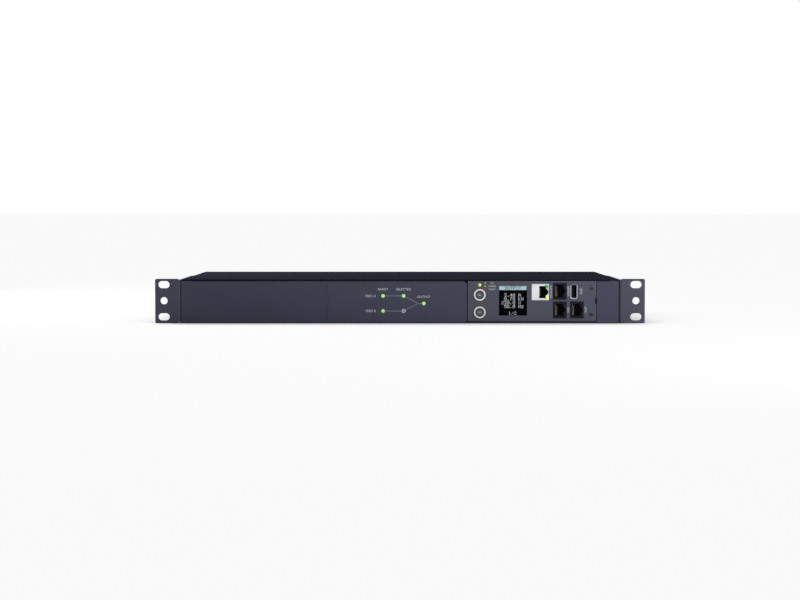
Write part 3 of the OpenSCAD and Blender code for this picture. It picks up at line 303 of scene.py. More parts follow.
def powder_coat(name, shade, look, sheen=None, depth=1.0):
    """Satin powder coat: fine orange peel, cloudy tone and slightly uneven sheen."""
    coat = Finish(name, shade, 0.62, 0.0, look.sheen if sheen is None else sheen)
    peel = coat.noise(look.grain, 3.0)
    cloud = coat.noise(35*MM, 2.0)
    coat.put({
        "Base Color": coat.shade(coat.range(cloud, 0.90, 1.10)*coat.range(peel, 0.86, 1.14)),
        "Roughness": coat.range(cloud, 0.56, 0.70),
    })
    coat.bump(peel, look.grain_depth*depth)
    return coat


def moulded(name, shade, roughness=0.55, grain=0.3*MM, specular=0.4, depth=0.006*MM):
    """Moulded plastic with a fine spark-eroded texture."""
    plastic = Finish(name, shade, roughness, 0.0, specular)
    texture = plastic.noise(grain, 2.0)
    flow = plastic.noise(9*MM, 2.0)
    plastic.put({
        "Base Color": plastic.shade(plastic.range(flow, 0.9, 1.1)),
        "Roughness": plastic.range(texture, roughness - 0.08, roughness + 0.08),
    })
    plastic.bump(texture, depth)
    return plastic


def sheet_metal(name, shade, roughness=0.32, grain=(1.0, 14.0, 14.0)):
    """Rolled or plated metal with fine lines along one axis and cloudy plating."""
    metal = Finish(name, shade, roughness, 1.0)
    lines = metal.noise(1.2*MM, 4.0, grain)
    cloud = metal.noise(14*MM, 3.0)
    metal.put({
        "Base Color": metal.shade(metal.range(cloud, 0.86, 1.08)),
        "Roughness": metal.range(cloud, roughness - 0.08, roughness + 0.1),
    })
    metal.bump(lines, 0.006*MM)
    return metal


def turned_metal(name, shade, roughness=0.28):
    """Turned metal with fine tool marks round its axis, which runs from front to back."""
    metal = Finish(name, shade, roughness, 1.0)
    marks = metal.noise(0.25*MM, 2.0, (0.05, 1.0, 0.05))
    cloud = metal.noise(2.5*MM, 2.0)
    metal.put({
        "Base Color": metal.shade(metal.range(cloud, 0.85, 1.1)),
        "Roughness": metal.range(marks, roughness - 0.08, roughness + 0.1),
    })
    metal.bump(marks, 0.008*MM)
    return metal


def lit_plastic(name, shade, glow, size):
    """A lit light pipe, brightest in patches as its light comes through."""
    lens = Finish(name, shade, 0.3, 0.0, 0.4)
    glint = lens.noise(size, 1.0)
    lens.put({
        "Emission Color": lens.shade(lens.range(glint, 0.8, 1.2)),
        "Emission Strength": glow,
    })
    return lens


def circuit(name, shade):
    """Solder mask with copper tracks under it and small tinned pads."""
    board = Finish(name, shade, 0.35, 0.0, 0.5)
    brick = board.node(
        "ShaderNodeTexBrick", {"offset": 0.5, "squash": 1.0},
        {"Vector": board.place, "Scale": 1/(6*MM), "Mortar Size": 0.045, "Brick Width": 0.9,
         "Row Height": 0.22}, output="Fac",
    )
    dots = board.node(
        "ShaderNodeTexVoronoi", {"feature": "F1"},
        {"Vector": board.place, "Scale": 1/(3.4*MM), "Randomness": 0.55}, output="Distance",
    )
    pads = dots < 0.14
    track = board.shade(1 + brick*0.7)
    board.put({
        "Base Color": board.blend(pads, track, (0.55, 0.52, 0.42, 1.0)),
        "Roughness": 0.45 - pads*0.2,
        "Metallic": pads,
    })
    board.bump(brick*0.5 + pads, 0.03*MM)
    return board


# ---------------------------------------------------------------- Mesh tools

class Extent:
    """The corners and middle of a CAD node."""

    def __init__(self, node):
        self.low, self.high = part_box(node)
        self.mid = (self.low + self.high)/2


def solids(node):
    """The (lowest, highest) corners of a node's separate solids, from left to right and upwards."""
    work = bmesh.new()
    work.from_mesh(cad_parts[node].data)
    bmesh.ops.remove_doubles(work, verts=work.verts, dist=0.001*MM)
    left, found = set(work.verts), []
    while left:
        queue = [left.pop()]
        island = []
        while queue:
            vert = queue.pop()
            island.append(vert.co)
            for edge in vert.link_edges:
                other = edge.other_vert(vert)
                if other in left:
                    left.remove(other)
                    queue.append(other)
        found.append((Vector(map(min, zip(*island))), Vector(map(max, zip(*island)))))
    work.free()
    return sorted(found, key=lambda ends: (round(ends[0].x, 4), round(ends[0].z, 4)))


def piece(name, work, finish, body="case"):
    """Makes an object of a bmesh, which rides on a body and takes that finish."""
    bmesh.ops.recalc_face_normals(work, faces=work.faces)
    mesh = bpy.data.meshes.new(name)
    work.to_mesh(mesh)
    work.free()
    mesh.materials.append(finish.material)
    made = bpy.data.objects.new(name, mesh)
    bpy.context.collection.objects.link(made)
    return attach(made, body)


# Turns that bring flat work, drawn in X and Y, onto a face
FRONT = Matrix.Rotation(math.pi/2, 4, "X")
DOWNWARD = FRONT @ Matrix.Rotation(-math.pi/2, 4, "Z")


def word_mesh(words):
    """A bmesh of a line of flat text, its capitals CAPITAL high, centred on the origin across."""
    curve = bpy.data.curves.new("word", "FONT")
    curve.body = words
    curve.align_x = "CENTER"
    curve.resolution_u = 3
    holder = bpy.data.objects.new("word", curve)
    bpy.context.collection.objects.link(holder)
    bpy.context.view_layer.update()
    shown = holder.evaluated_get(bpy.context.evaluated_depsgraph_get())
    flat = bpy.data.meshes.new_from_object(shown)
    bpy.data.objects.remove(holder)
    work = bmesh.new()
    work.from_mesh(flat)
    bpy.data.meshes.remove(flat)
    bpy.data.curves.remove(curve)
    return work


CAPITAL = 0.69                      # height of a capital letter in the default font


def add_words(target, words, place, height, width, thickness, turn=FRONT):
    """Adds a line of print to a bmesh: capitals that high, at most that wide, rising off the surface."""
    flat = word_mesh(words)
    scale = height/CAPITAL
    span = [vert.co.x for vert in flat.verts]
    wide = (max(span) - min(span))*scale
    squeeze = min(1.0, width/wide)
    middle = Matrix.Translation((-(max(span) + min(span))/2*squeeze, -CAPITAL/2, 0))
    sized = Matrix.Diagonal((scale, scale, 1, 1)) @ middle @ Matrix.Diagonal((squeeze, 1, 1, 1))
    bmesh.ops.transform(flat, matrix=sized, verts=flat.verts)
    raise_print(flat, thickness)
    bmesh.ops.transform(flat, matrix=Matrix.Translation(place) @ turn, verts=flat.verts)
    take(target, flat)


def raise_print(flat, thickness):
    """Gives flat faces in X and Y a thickness, upwards from Z = 0."""
    bmesh.ops.remove_doubles(flat, verts=flat.verts, dist=0.0005*MM)
    faces = list(flat.faces)
    for face in faces:
        if face.normal.z < 0:
            face.normal_flip()
    grown = bmesh.ops.extrude_face_region(flat, geom=faces, use_keep_orig=True)
    upper = [item for item in grown["geom"] if isinstance(item, bmesh.types.BMVert)]
    bmesh.ops.translate(flat, vec=(0, 0, thickness), verts=upper)


def take(target, work):
    """Adds one bmesh to another."""
    mesh = bpy.data.meshes.new("part")
    work.to_mesh(mesh)
    work.free()
    target.from_mesh(mesh)
    bpy.data.meshes.remove(mesh)


def add_disc(target, place, radius, thickness, sides=32):
    """A flat disc that faces the front, rising off the surface."""
    disc = bmesh.new()
    bmesh.ops.create_circle(disc, cap_ends=True, segments=sides, radius=radius)
    raise_print(disc, thickness)
    bmesh.ops.transform(disc, matrix=Matrix.Translation(place) @ FRONT, verts=disc.verts)
    take(target, disc)


def add_plate(target, low, high, radius, thickness, place_y, corner_steps=6):
    """A flat plate with rounded corners, from corner to corner in X and Z, rising off the surface."""
    left, bottom = low[0] + radius, low[1] + radius
    right, top = high[0] - radius, high[1] - radius
    outline = []
    for quarter, (x, z) in enumerate([(right, top), (left, top), (left, bottom), (right, bottom)]):
        for step in range(corner_steps + 1):
            angle = math.pi/2*(quarter + step/corner_steps)
            outline.append((x + radius*math.cos(angle), z + radius*math.sin(angle), 0))
    flat = bmesh.new()
    flat.faces.new([flat.verts.new(point) for point in outline])
    flat.normal_update()
    raise_print(flat, thickness)
    bmesh.ops.transform(flat, matrix=Matrix.Translation((0, place_y, 0)) @ FRONT, verts=flat.verts)
    take(target, flat)


# ---------------------------------------------------------------- Geometry Nodes

class Growth:
    """A Geometry Nodes tree that makes something at each point of a mesh."""

    def __init__(self, name, sizes):
        self.tree = bpy.data.node_groups.new(name, "GeometryNodeTree")
        self.sizes = sizes
        sockets = self.tree.interface
        sockets.new_socket("Geometry", in_out="INPUT", socket_type="NodeSocketGeometry")
        for label in sizes:
            sockets.new_socket(label, in_out="INPUT", socket_type="NodeSocketFloat")
        sockets.new_socket("Geometry", in_out="OUTPUT", socket_type="NodeSocketGeometry")
        self.source = self.tree.nodes.new("NodeGroupInput")

    def size(self, label):
        return self.source.outputs[label]

    def node(self, kind, settings=None, values=None, output=0):
        """Adds a node: its settings first, then the values or links of its sockets."""
        made = self.tree.nodes.new(kind)
        for name, setting in (settings or {}).items():
            setattr(made, name, setting)
        for name, value in (values or {}).items():
            if isinstance(value, bpy.types.NodeSocket):
                self.tree.links.new(value, made.inputs[name])
            else:
                made.inputs[name].default_value = value
        return made.outputs[output]

    def times(self, one, two):
        return self.node("ShaderNodeMath", {"operation": "MULTIPLY"}, {0: one, 1: two})

    def vector(self, x, y, z):
        return self.node("ShaderNodeCombineXYZ", values={"X": x, "Y": y, "Z": z})

    def sweep(self, path, profile):
        """A solid that follows a path."""
        values = {"Curve": path, "Profile Curve": profile, "Fill Caps": True}
        return self.node("GeometryNodeCurveToMesh", values=values)

    def copies(self, made, turn=(0, 0, 0)):
        """A copy of what was made at each of the mesh's points."""
        values = {"Points": self.source.outputs["Geometry"], "Instance": made, "Rotation": turn}
        return self.node("GeometryNodeInstanceOnPoints", values=values)

    def grow(self, name, geometry, points, finish, body="case"):
        """Ends the tree, runs it on the points and keeps the result as a plain mesh."""
        real = self.node("GeometryNodeRealizeInstances", values={"Geometry": geometry})
        painted = self.node(
            "GeometryNodeSetMaterial", values={"Geometry": real, "Material": finish.material},
        )
        end = self.tree.nodes.new("NodeGroupOutput")
        self.tree.links.new(painted, end.inputs["Geometry"])
        seeds = bpy.data.meshes.new(name + "_points")
        seeds.from_pydata([tuple(point) for point in points], [], [])
        made = bpy.data.objects.new(name, seeds)
        bpy.context.collection.objects.link(made)
        modifier = made.modifiers.new("growth", "NODES")
        modifier.node_group = self.tree
        for item in self.tree.interface.items_tree:
            if item.in_out == "INPUT" and item.name in self.sizes:
                modifier[item.identifier] = self.sizes[item.name]
        bpy.context.view_layer.update()
        shown = made.evaluated_get(bpy.context.evaluated_depsgraph_get())
        result = bpy.data.meshes.new_from_object(shown)
        made.modifiers.remove(modifier)
        made.data = result
        bpy.data.meshes.remove(seeds)
        result.name = name
        if not result.polygons:
            raise RuntimeError(name + " came out empty")
        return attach(made, body)


def grow_thread(name, places, radius, pitch, turns, depth, finish):
    """A helical ridge round each place, along +Y from it."""
    tree = Growth(name, {"Radius": radius, "Pitch": pitch, "Turns": turns, "Depth": depth})
    height = tree.times(tree.size("Pitch"), tree.size("Turns"))
    coil = tree.node("GeometryNodeCurveSpiral", values={
        "Resolution": 32, "Rotations": tree.size("Turns"), "Start Radius": tree.size("Radius"),
        "End Radius": tree.size("Radius"), "Height": height,
    })
    ridge = tree.node("GeometryNodeCurvePrimitiveCircle", values={
        "Resolution": 4, "Radius": tree.size("Depth"),
    })
    placed = tree.copies(tree.sweep(coil, ridge), (-math.pi/2, 0, 0))
    return tree.grow(name, placed, places, finish)


def grow_springs(name, places, fine, finish):
    """Pairs of bowed leaf springs that grip a plug's blade, reaching forward from each place."""
    tree = Growth(name, {
        "Width": fine.spring_w, "Thickness": fine.spring_t, "Reach": fine.spring_reach,
        "Root": fine.spring_root, "Bow": -fine.spring_bow, "Tip": fine.spring_tip,
    })
    belly = tree.times(tree.size("Reach"), -fine.spring_belly)
    bow = tree.node("GeometryNodeCurveQuadraticBezier", values={
        "Resolution": 10, "Start": tree.vector(tree.size("Root"), 0, 0),
        "Middle": tree.vector(tree.size("Bow"), belly, 0),
        "End": tree.vector(tree.size("Tip"), tree.times(tree.size("Reach"), -1), 0),
    })
    strip = tree.node("GeometryNodeCurvePrimitiveQuadrilateral", values={
        "Width": tree.size("Thickness"), "Height": tree.size("Width"),
    })
    leaf = tree.sweep(bow, strip)
    other = tree.node("GeometryNodeTransform", values={"Geometry": leaf, "Rotation": (0, math.pi, 0)})
    pair = tree.node("GeometryNodeJoinGeometry")
    for half in (leaf, other):
        tree.tree.links.new(half, pair.node.inputs[0])
    return tree.grow(name, tree.copies(pair), places, finish)


# The display's letters, 5 dots wide: one number of bits for each of the 7 rows, from the top
LETTERS = {
    "0": (14, 17, 19, 21, 25, 17, 14), "1": (4, 12, 4, 4, 4, 4, 14), "2": (14, 17, 1, 2, 4, 8, 31),
    "3": (31, 2, 4, 2, 1, 17, 14), "4": (2, 6, 10, 18, 31, 2, 2), "5": (31, 16, 30, 1, 1, 17, 14),
    "7": (31, 1, 2, 4, 8, 8, 8), "8": (14, 17, 17, 14, 17, 17, 14), ".": (0, 0, 0, 0, 0, 12, 12),
    "/": (0, 1, 2, 4, 8, 16, 0), "A": (14, 17, 17, 17, 31, 17, 17), "k": (16, 16, 18, 20, 24, 20, 18),
    "W": (17, 17, 17, 21, 21, 21, 10), "V": (17, 17, 17, 17, 17, 10, 4), "H": (17, 17, 17, 31, 17, 17, 17),
    "z": (0, 0, 31, 2, 4, 8, 31), "O": (14, 17, 17, 17, 17, 17, 14), "U": (17, 17, 17, 17, 17, 17, 14),
    "T": (31, 4, 4, 4, 4, 4, 4), "P": (30, 17, 17, 30, 16, 16, 16), " ": (0, 0, 0, 0, 0, 0, 0),
}


LETTER_STEP = 6                     # from one letter to the next, in dots
LINE_STEP = 8                       # from one line to the next, in dots
BAND_DOTS = 9                       # height of the header band, in dots
TITLE_DOTS = 4.6                    # from the window's top to the middle of the title, in dots


def dotted(words, left, middle, pitch):
    """The (x, z) places of the lit dots of a line of words, from its left end."""
    return [
        (left + (index*LETTER_STEP + column + 1)*pitch, middle + (3 - row)*pitch)
        for index, letter in enumerate(words)
        for row, bits in enumerate(LETTERS[letter])
        for column in range(5) if bits >> (4 - column) & 1
    ]


def grow_dots(name, places, y, width, thickness, finish):
    """A square dot at each (x, z) place."""
    tree = Growth(name, {"Width": width, "Thickness": thickness})
    size = tree.vector(tree.size("Width"), tree.size("Thickness"), tree.size("Width"))
    dot = tree.node("GeometryNodeMeshCube", values={"Size": size})
    return tree.grow(name, tree.copies(dot), [(x, y, z) for x, z in places], finish)


# ---------------------------------------------------------------- Pieces

class CaseFinish(bpy.types.Operator):
    """Paints the case, its panels, ears and screws"""
    bl_idname = "transfer_switch.case_finish"
    bl_label = "Case finish"

    def execute(self, context):
        look = context.scene.switch_case
        cover_face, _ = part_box("top_cover")
        case = powder_coat("case_paint", look.case, look)
        # Painted shade: the module tray and bracket take the dark case paint instead of bare zinc, so the
        # gaps round the module show dark as shade
        case.coat("chassis_tray", "rear_panel", "module_tray", "module_bracket")
        cover = powder_coat("cover_paint", look.case, look, look.cover_sheen)
        # Painted shade on the cover's front edge, for the shadow in the gap above the front panels
        front_edge_shade_mask = cover.axis("Y") < cover_face.y + 0.1*MM
        cloud = cover.noise(35*MM, 2.0)
        tone_and_painted_shade = (1 - front_edge_shade_mask*look.edge_painted_shade)*cover.range(cloud, 0.92, 1.08)
        cover.put({"Base Color": cover.shade(tone_and_painted_shade)})
        cover.coat("top_cover")
        powder_coat("panel_paint", look.panel, look).coat("front_panel", "front_end_panel")
        powder_coat("ear_paint", look.ear, look, look.ear_sheen).coat("left_ear", "right_ear")
        turned_metal("dark_screw", look.screw, 0.42).coat("ear_screws", "cover_screws")
        return {"FINISHED"}


class MimicFinish(bpy.types.Operator):
    """Makes the mimic overlay, its lines, lights and words"""
    bl_idname = "transfer_switch.mimic"
    bl_label = "Mimic"

    def execute(self, context):
        scene = context.scene
        case, ink, light = scene.switch_case, scene.switch_print, scene.switch_lights
        film = moulded("overlay_film", case.panel, 0.6, 0.25*MM, 0.15, 0.004*MM)
        film.coat("mimic_overlay")
        white = moulded("white_print", ink.ink, 0.6, 0.2*MM, 0.2, 0.002*MM)
        moulded("line_print", linear(128, 134, 148), 0.6, 0.2*MM, 0.2, 0.002*MM).coat("mimic_lines")
        lit_plastic("green_light", light.lit, light.glow, 1.2*MM).coat("mimic_lights_on")
        unlit = moulded("unlit_light", linear(196, 202, 212), 0.25, 0.5*MM)
        middle = unlit.round_spot(solids("mimic_light_off"), 0.85*MM)
        unlit.put({"Base Color": unlit.blend(middle, unlit.colour, (*linear(88, 94, 106), 1.0))})
        unlit.coat("mimic_light_off")
        boards = ("mimic_board", "module_board", "control_board", "power_board")
        circuit("circuit_board", linear(24, 84, 42)).coat(*boards)
        overlay = Extent("mimic_overlay")
        centres = [(low + high)/2 for low, high in solids("mimic_lights_on")]
        ready_x, chosen_x, output_x = (centres[i].x for i in (0, 2, 3))
        top_z = max(centre.z for centre in centres)
        low_z = min(centre.z for centre in centres)
        output_z = centres[3].z
        face = overlay.low.y
        work = bmesh.new()
        over, beside = 6.6*MM, 12.1*MM      # from a light's middle to its words' middle
        lines = [
            ("READY", ready_x, top_z + over, 11*MM), ("SELECTED", chosen_x, top_z + over, 15.5*MM),
            ("FEED A", ready_x - beside, top_z, 13*MM), ("FEED B", ready_x - beside, low_z, 13*MM),
            ("OUTPUT", output_x, output_z + over, 13*MM),
        ]
        for words, x, z, width in lines:
            add_words(work, words, (x, face, z), ink.mimic_letter, width, ink.ink_t)
        piece("mimic_words", work, white)
        return {"FINISHED"}


class ModuleFinish(bpy.types.Operator):
    """Makes the control module's paint, buttons, lights and words"""
    bl_idname = "transfer_switch.module"
    bl_label = "Control module"

    def execute(self, context):
        scene = context.scene
        case, ink, light = scene.switch_case, scene.switch_print, scene.switch_lights
        powder_coat("module_paint", case.module, case).coat("module_faceplate")
        self.screws(case)
        moulded("button_plastic", linear(78, 80, 92), 0.6, 0.3*MM, 0.15).coat("select_button", "enter_button")
        moulded("button_ring", linear(236, 234, 228), 0.5, 0.3*MM).coat("select_ring", "enter_ring")
        moulded("guide_plastic", linear(22, 22, 24)).coat("button_guides", "button_switches")
        lit_plastic("status_lens", light.status, light.glow, 1.2*MM).coat("status_light")
        white = moulded("module_ink", ink.ink, 0.6, 0.2*MM, 0.2, 0.002*MM)
        face = Extent("module_faceplate").low.y
        self.legend(ink, white, face)
        self.port_words(ink, white, face)
        for name, words in (("select", "SEL"), ("enter", "OK")):
            cap = Extent(name + "_button")
            place = (cap.mid.x, cap.low.y, cap.mid.z)
            work = bmesh.new()
            add_words(work, words, place, ink.button_letter, ink.button_word, ink.ink_t)
            piece(name + "_word", work, white, name + "_key")
        return {"FINISHED"}

    @staticmethod
    def screws(case):
        """Screws in the module's colour, with a disc of painted shade in the middle of each head for the
        shadow in its drive recess.
        """
        paint = powder_coat("screw_paint", case.module, case)
        # Painted shade: a dark disc where the shadow of the drive recess falls
        recess_shade_mask = paint.round_spot(solids("module_screws"), 0.95*MM)
        dark = (*linear(18, 18, 24), 1.0)
        paint.put({"Base Color": paint.blend(recess_shade_mask, paint.colour, dark)})
        paint.coat("module_screws")

    @staticmethod
    def legend(ink, white, face):
        """Three coloured dots with their meanings, right of the status light."""
        light = Extent("status_light")
        window = Extent("display_window")
        dot_x = light.mid.x + ink.legend_gap
        word_x = (dot_x + ink.legend_dot/2 + window.low.x)/2 - ink.legend_left
        rows = [
            ("OK", linear(150, 182, 66)), ("CHECK", linear(182, 168, 60)), ("FAULT", linear(150, 58, 56)),
        ]
        work = bmesh.new()
        for row, (words, shade) in enumerate(rows):
            z = light.mid.z + ink.legend_rise - row*ink.legend_step
            dot = bmesh.new()
            add_disc(dot, (dot_x, face, z), ink.legend_dot/2, ink.ink_t)
            paint = moulded("legend_" + words.lower(), shade, 0.5, 0.2*MM, 0.3, 0.002*MM)
            piece("legend_dot_" + words.lower(), dot, paint)
            place = (word_x, face, z)
            add_words(work, words, place, ink.legend_letter, ink.legend_word, ink.ink_t)
        piece("legend_words", work, white)

    @staticmethod
    def port_words(ink, white, face):
        """The name of each port, read downwards beside it."""
        # Each word, its port, the gap between them and the length that the word may take
        named = (
            ("NETWORK", "network_shield", 2.1*MM, 13*MM), ("SENSOR", "sensor_jack", 1.8*MM, 11.3*MM),
            ("COM", "serial_jack", 1.8*MM, 5.2*MM), ("LINK", "link_jack", 2.2*MM, 7.2*MM),
            ("DATA", "usb_shell", 3.2*MM, 5.8*MM),
        )
        work = bmesh.new()
        for words, node, gap, run in named:
            port = Extent(node)
            place = (port.high.x + gap, face, port.mid.z)
            add_words(work, words, place, ink.port_letter, run, ink.ink_t, DOWNWARD)
        piece("port_words", work, white)


class DisplayFinish(bpy.types.Operator):
    """Makes the display's window and what it shows"""
    bl_idname = "transfer_switch.display"
    bl_label = "Display"

    def execute(self, context):
        ink, light = context.scene.switch_print, context.scene.switch_lights
        glass = Finish("display_glass", linear(3, 4, 5), 0.08, 0.0, 0.06)
        smear = glass.noise(6*MM, 2.0)
        glass.put({"Roughness": glass.range(smear, 0.07, 0.14), "Alpha": 0.18})
        glass.coat("display_window")
        cell = Finish("display_cell", linear(3, 5, 6), 0.5, 0.0, 0.05)
        mesh = cell.noise(0.3*MM, 0.0)
        cell.put({"Base Color": cell.shade(cell.range(mesh, 0.7, 1.3))})
        cell.coat("display_panel")
        moulded("white_plastic", linear(222, 222, 216)).coat("display_holder")
        window = Extent("display_window")
        lit = lit_plastic("display_dots", light.digits, light.glow, 2*MM)
        header = lit_plastic("display_header", light.header, light.glow, 6*MM)
        dark = moulded("display_dark", linear(16, 34, 44))
        pitch, inset = light.dot_pitch, light.band_inset
        cell_w, line_h = LETTER_STEP*pitch, LINE_STEP*pitch
        band = bmesh.new()
        band_low = (window.low.x + inset, window.high.z - BAND_DOTS*pitch)
        band_high = (window.high.x - inset, window.high.z - inset)
        add_plate(band, band_low, band_high, 0.2*MM, ink.ink_t, window.high.y)
        piece("display_band", band, header)
        back = window.high.y - ink.ink_t/2
        title = dotted("OUTPUT", window.mid.x - 3*cell_w, window.high.z - TITLE_DOTS*pitch, pitch)
        title_y = back - 1.5*ink.ink_t
        grow_dots("display_title", title, title_y, pitch, ink.ink_t, dark)
        dots = []
        for row, words in enumerate((" 3.40 A", " 0.78 kW", "230.0 V", " 50.0 Hz")):
            z = window.high.z - light.row_drop - row*line_h
            dots += dotted(words, window.low.x + light.row_left - cell_w/2, z, pitch)
        page_x = window.mid.x - light.page_left - 1.5*cell_w
        dots += dotted("1/2", page_x, window.low.z + light.page_rise, pitch)
        grow_dots("display_figures", dots, back, light.dot, ink.ink_t, lit)
        return {"FINISHED"}


class PortFinish(bpy.types.Operator):
    """Finishes the ports of the control module"""
    bl_idname = "transfer_switch.ports"
    bl_label = "Ports"

    def execute(self, context):
        sheet_metal("port_shield", linear(210, 211, 217), 0.3).coat("network_shield")
        sheet_metal("usb_steel", linear(158, 163, 174), 0.35).coat("usb_shell")
        jacks = moulded("jack_plastic", linear(25, 25, 34), 0.55, 0.3*MM, 0.08)
        jacks.coat("sensor_jack", "serial_jack", "link_jack")
        inner = moulded("port_plastic", linear(12, 12, 17), 0.55, 0.3*MM, 0.08)
        inner.coat("network_insert", "usb_tongue")
        lit_plastic("lens_green", linear(40, 165, 88), 0.35, 1*MM).coat("network_light_green")
        lit_plastic("lens_yellow", linear(215, 235, 60), 0.55, 1*MM).coat("network_light_yellow")
        gold = sheet_metal("gold_contact", linear(206, 192, 160), 0.4, (14.0, 1.0, 14.0))
        gold.put({"Metallic": 0.25})
        gold.coat("jack_contacts")
        return {"FINISHED"}


class BackFinish(bpy.types.Operator):
    """Finishes the sockets, breakers and earth stud at the back"""
    bl_idname = "transfer_switch.back"
    bl_label = "Back"

    def execute(self, context):
        fine = context.scene.switch_parts
        sockets = ("inlet_a", "inlet_b", "large_outlet", "outlet_bank_a", "outlet_bank_b")
        plastic = moulded("socket_plastic", linear(30, 30, 33), 0.45)
        plastic.coat(*sockets, "breaker_bodies")
        turned_metal("pin_metal", linear(205, 198, 178), 0.3).coat("inlet_pins")
        nickel = turned_metal("nickel_nut", linear(196, 197, 200), 0.22)
        nickel.coat("breaker_nuts")
        moulded("reset_plastic", linear(222, 221, 214), 0.35).coat("reset_button_a", "reset_button_b")
        brass = turned_metal("earth_brass", linear(204, 178, 112), 0.3)
        brass.coat("earth_stud", "standoffs")
        stud, nut = Extent("earth_stud"), Extent("breaker_nuts")
        start = (stud.mid.x, stud.high.y - fine.stud_run, stud.mid.z)
        necks = [Extent(button).mid for button in ("reset_button_a", "reset_button_b")]
        starts = [(neck.x, nut.high.y + fine.neck_gap, neck.z) for neck in necks]
        grow_thread(
            "stud_thread", [start], fine.stud_r, fine.stud_pitch, fine.stud_turns, fine.thread_depth,
            brass,
        )
        grow_thread(
            "neck_threads", starts, fine.neck_r, fine.neck_pitch, fine.neck_turns, fine.thread_depth,
            plastic,
        )
        self.springs(fine, nickel)
        return {"FINISHED"}

    @staticmethod
    def springs(fine, metal):
        """The contact springs that show at the bottom of the outlets' slots."""
        large = Extent("large_outlet")
        outlets = [(large.mid.x, large.low.y, large.mid.z, fine.large_x, fine.large_z)]
        for bank in ("outlet_bank_a", "outlet_bank_b"):
            row = Extent(bank)
            outlets += [
                (row.mid.x + step*fine.outlet_pitch, row.low.y, row.mid.z, fine.small_x, fine.small_z)
                for step in (-1.5, -0.5, 0.5, 1.5)
            ]
        places = [
            (x + side*apart, y + fine.spring_depth, z - (rise if side else -rise))
            for x, y, z, apart, rise in outlets
            for side in (-1, 0, 1)
        ]
        grow_springs("outlet_springs", places, fine, metal)


class InsideFinish(bpy.types.Operator):
    """Finishes the power stage and the boards inside"""
    bl_idname = "transfer_switch.inside"
    bl_label = "Inside"

    def execute(self, context):
        moulded("insulator", linear(216, 214, 200), 0.4, 1.5*MM).coat("insulation_sheet")
        moulded("thyristor_epoxy", linear(30, 30, 33), 0.6).coat("thyristor_modules")
        moulded("relay_plastic", linear(28, 52, 98), 0.35).coat("bypass_relays")
        moulded("sensor_plastic", linear(26, 27, 60), 0.4).coat("current_sensors")
        moulded("wire_jacket", linear(120, 60, 34), 0.45, 0.6*MM).coat("wiring")
        sheet_metal("sink_aluminium", linear(190, 192, 196), 0.35, (1.0, 40.0, 40.0)).coat("heat_sink")
        core = Finish("transformer_core", linear(96, 92, 88), 0.45, 0.7)
        layer = (core.axis("Z")/(0.5*MM)).fraction()
        core.put({"Base Color": core.shade(core.range(layer, 0.6, 1.2))})
        core.bump(layer, 0.05*MM)
        core.coat("supply_transformers")
        return {"FINISHED"}


# ---------------------------------------------------------------- Stage

# Each light's place, the point that it faces and its width, in metres
KEY_LIGHT = ((0.62, -0.70, 0.24), (0.05, -0.12, 0.02), 0.6)
RIM_LIGHT = ((-0.55, 0.35, 0.45), (-0.1, 0.05, 0.04), 0.5)
FLOOR_REACH = 30                    # from the floor's middle to its edge, in metres
# The floor's painted contact shadow: ambient occlusion over this distance darkens its colour near the object
PAINTED_SHADOW_REACH = 0.12                 # distance over which the object darkens the floor, in metres


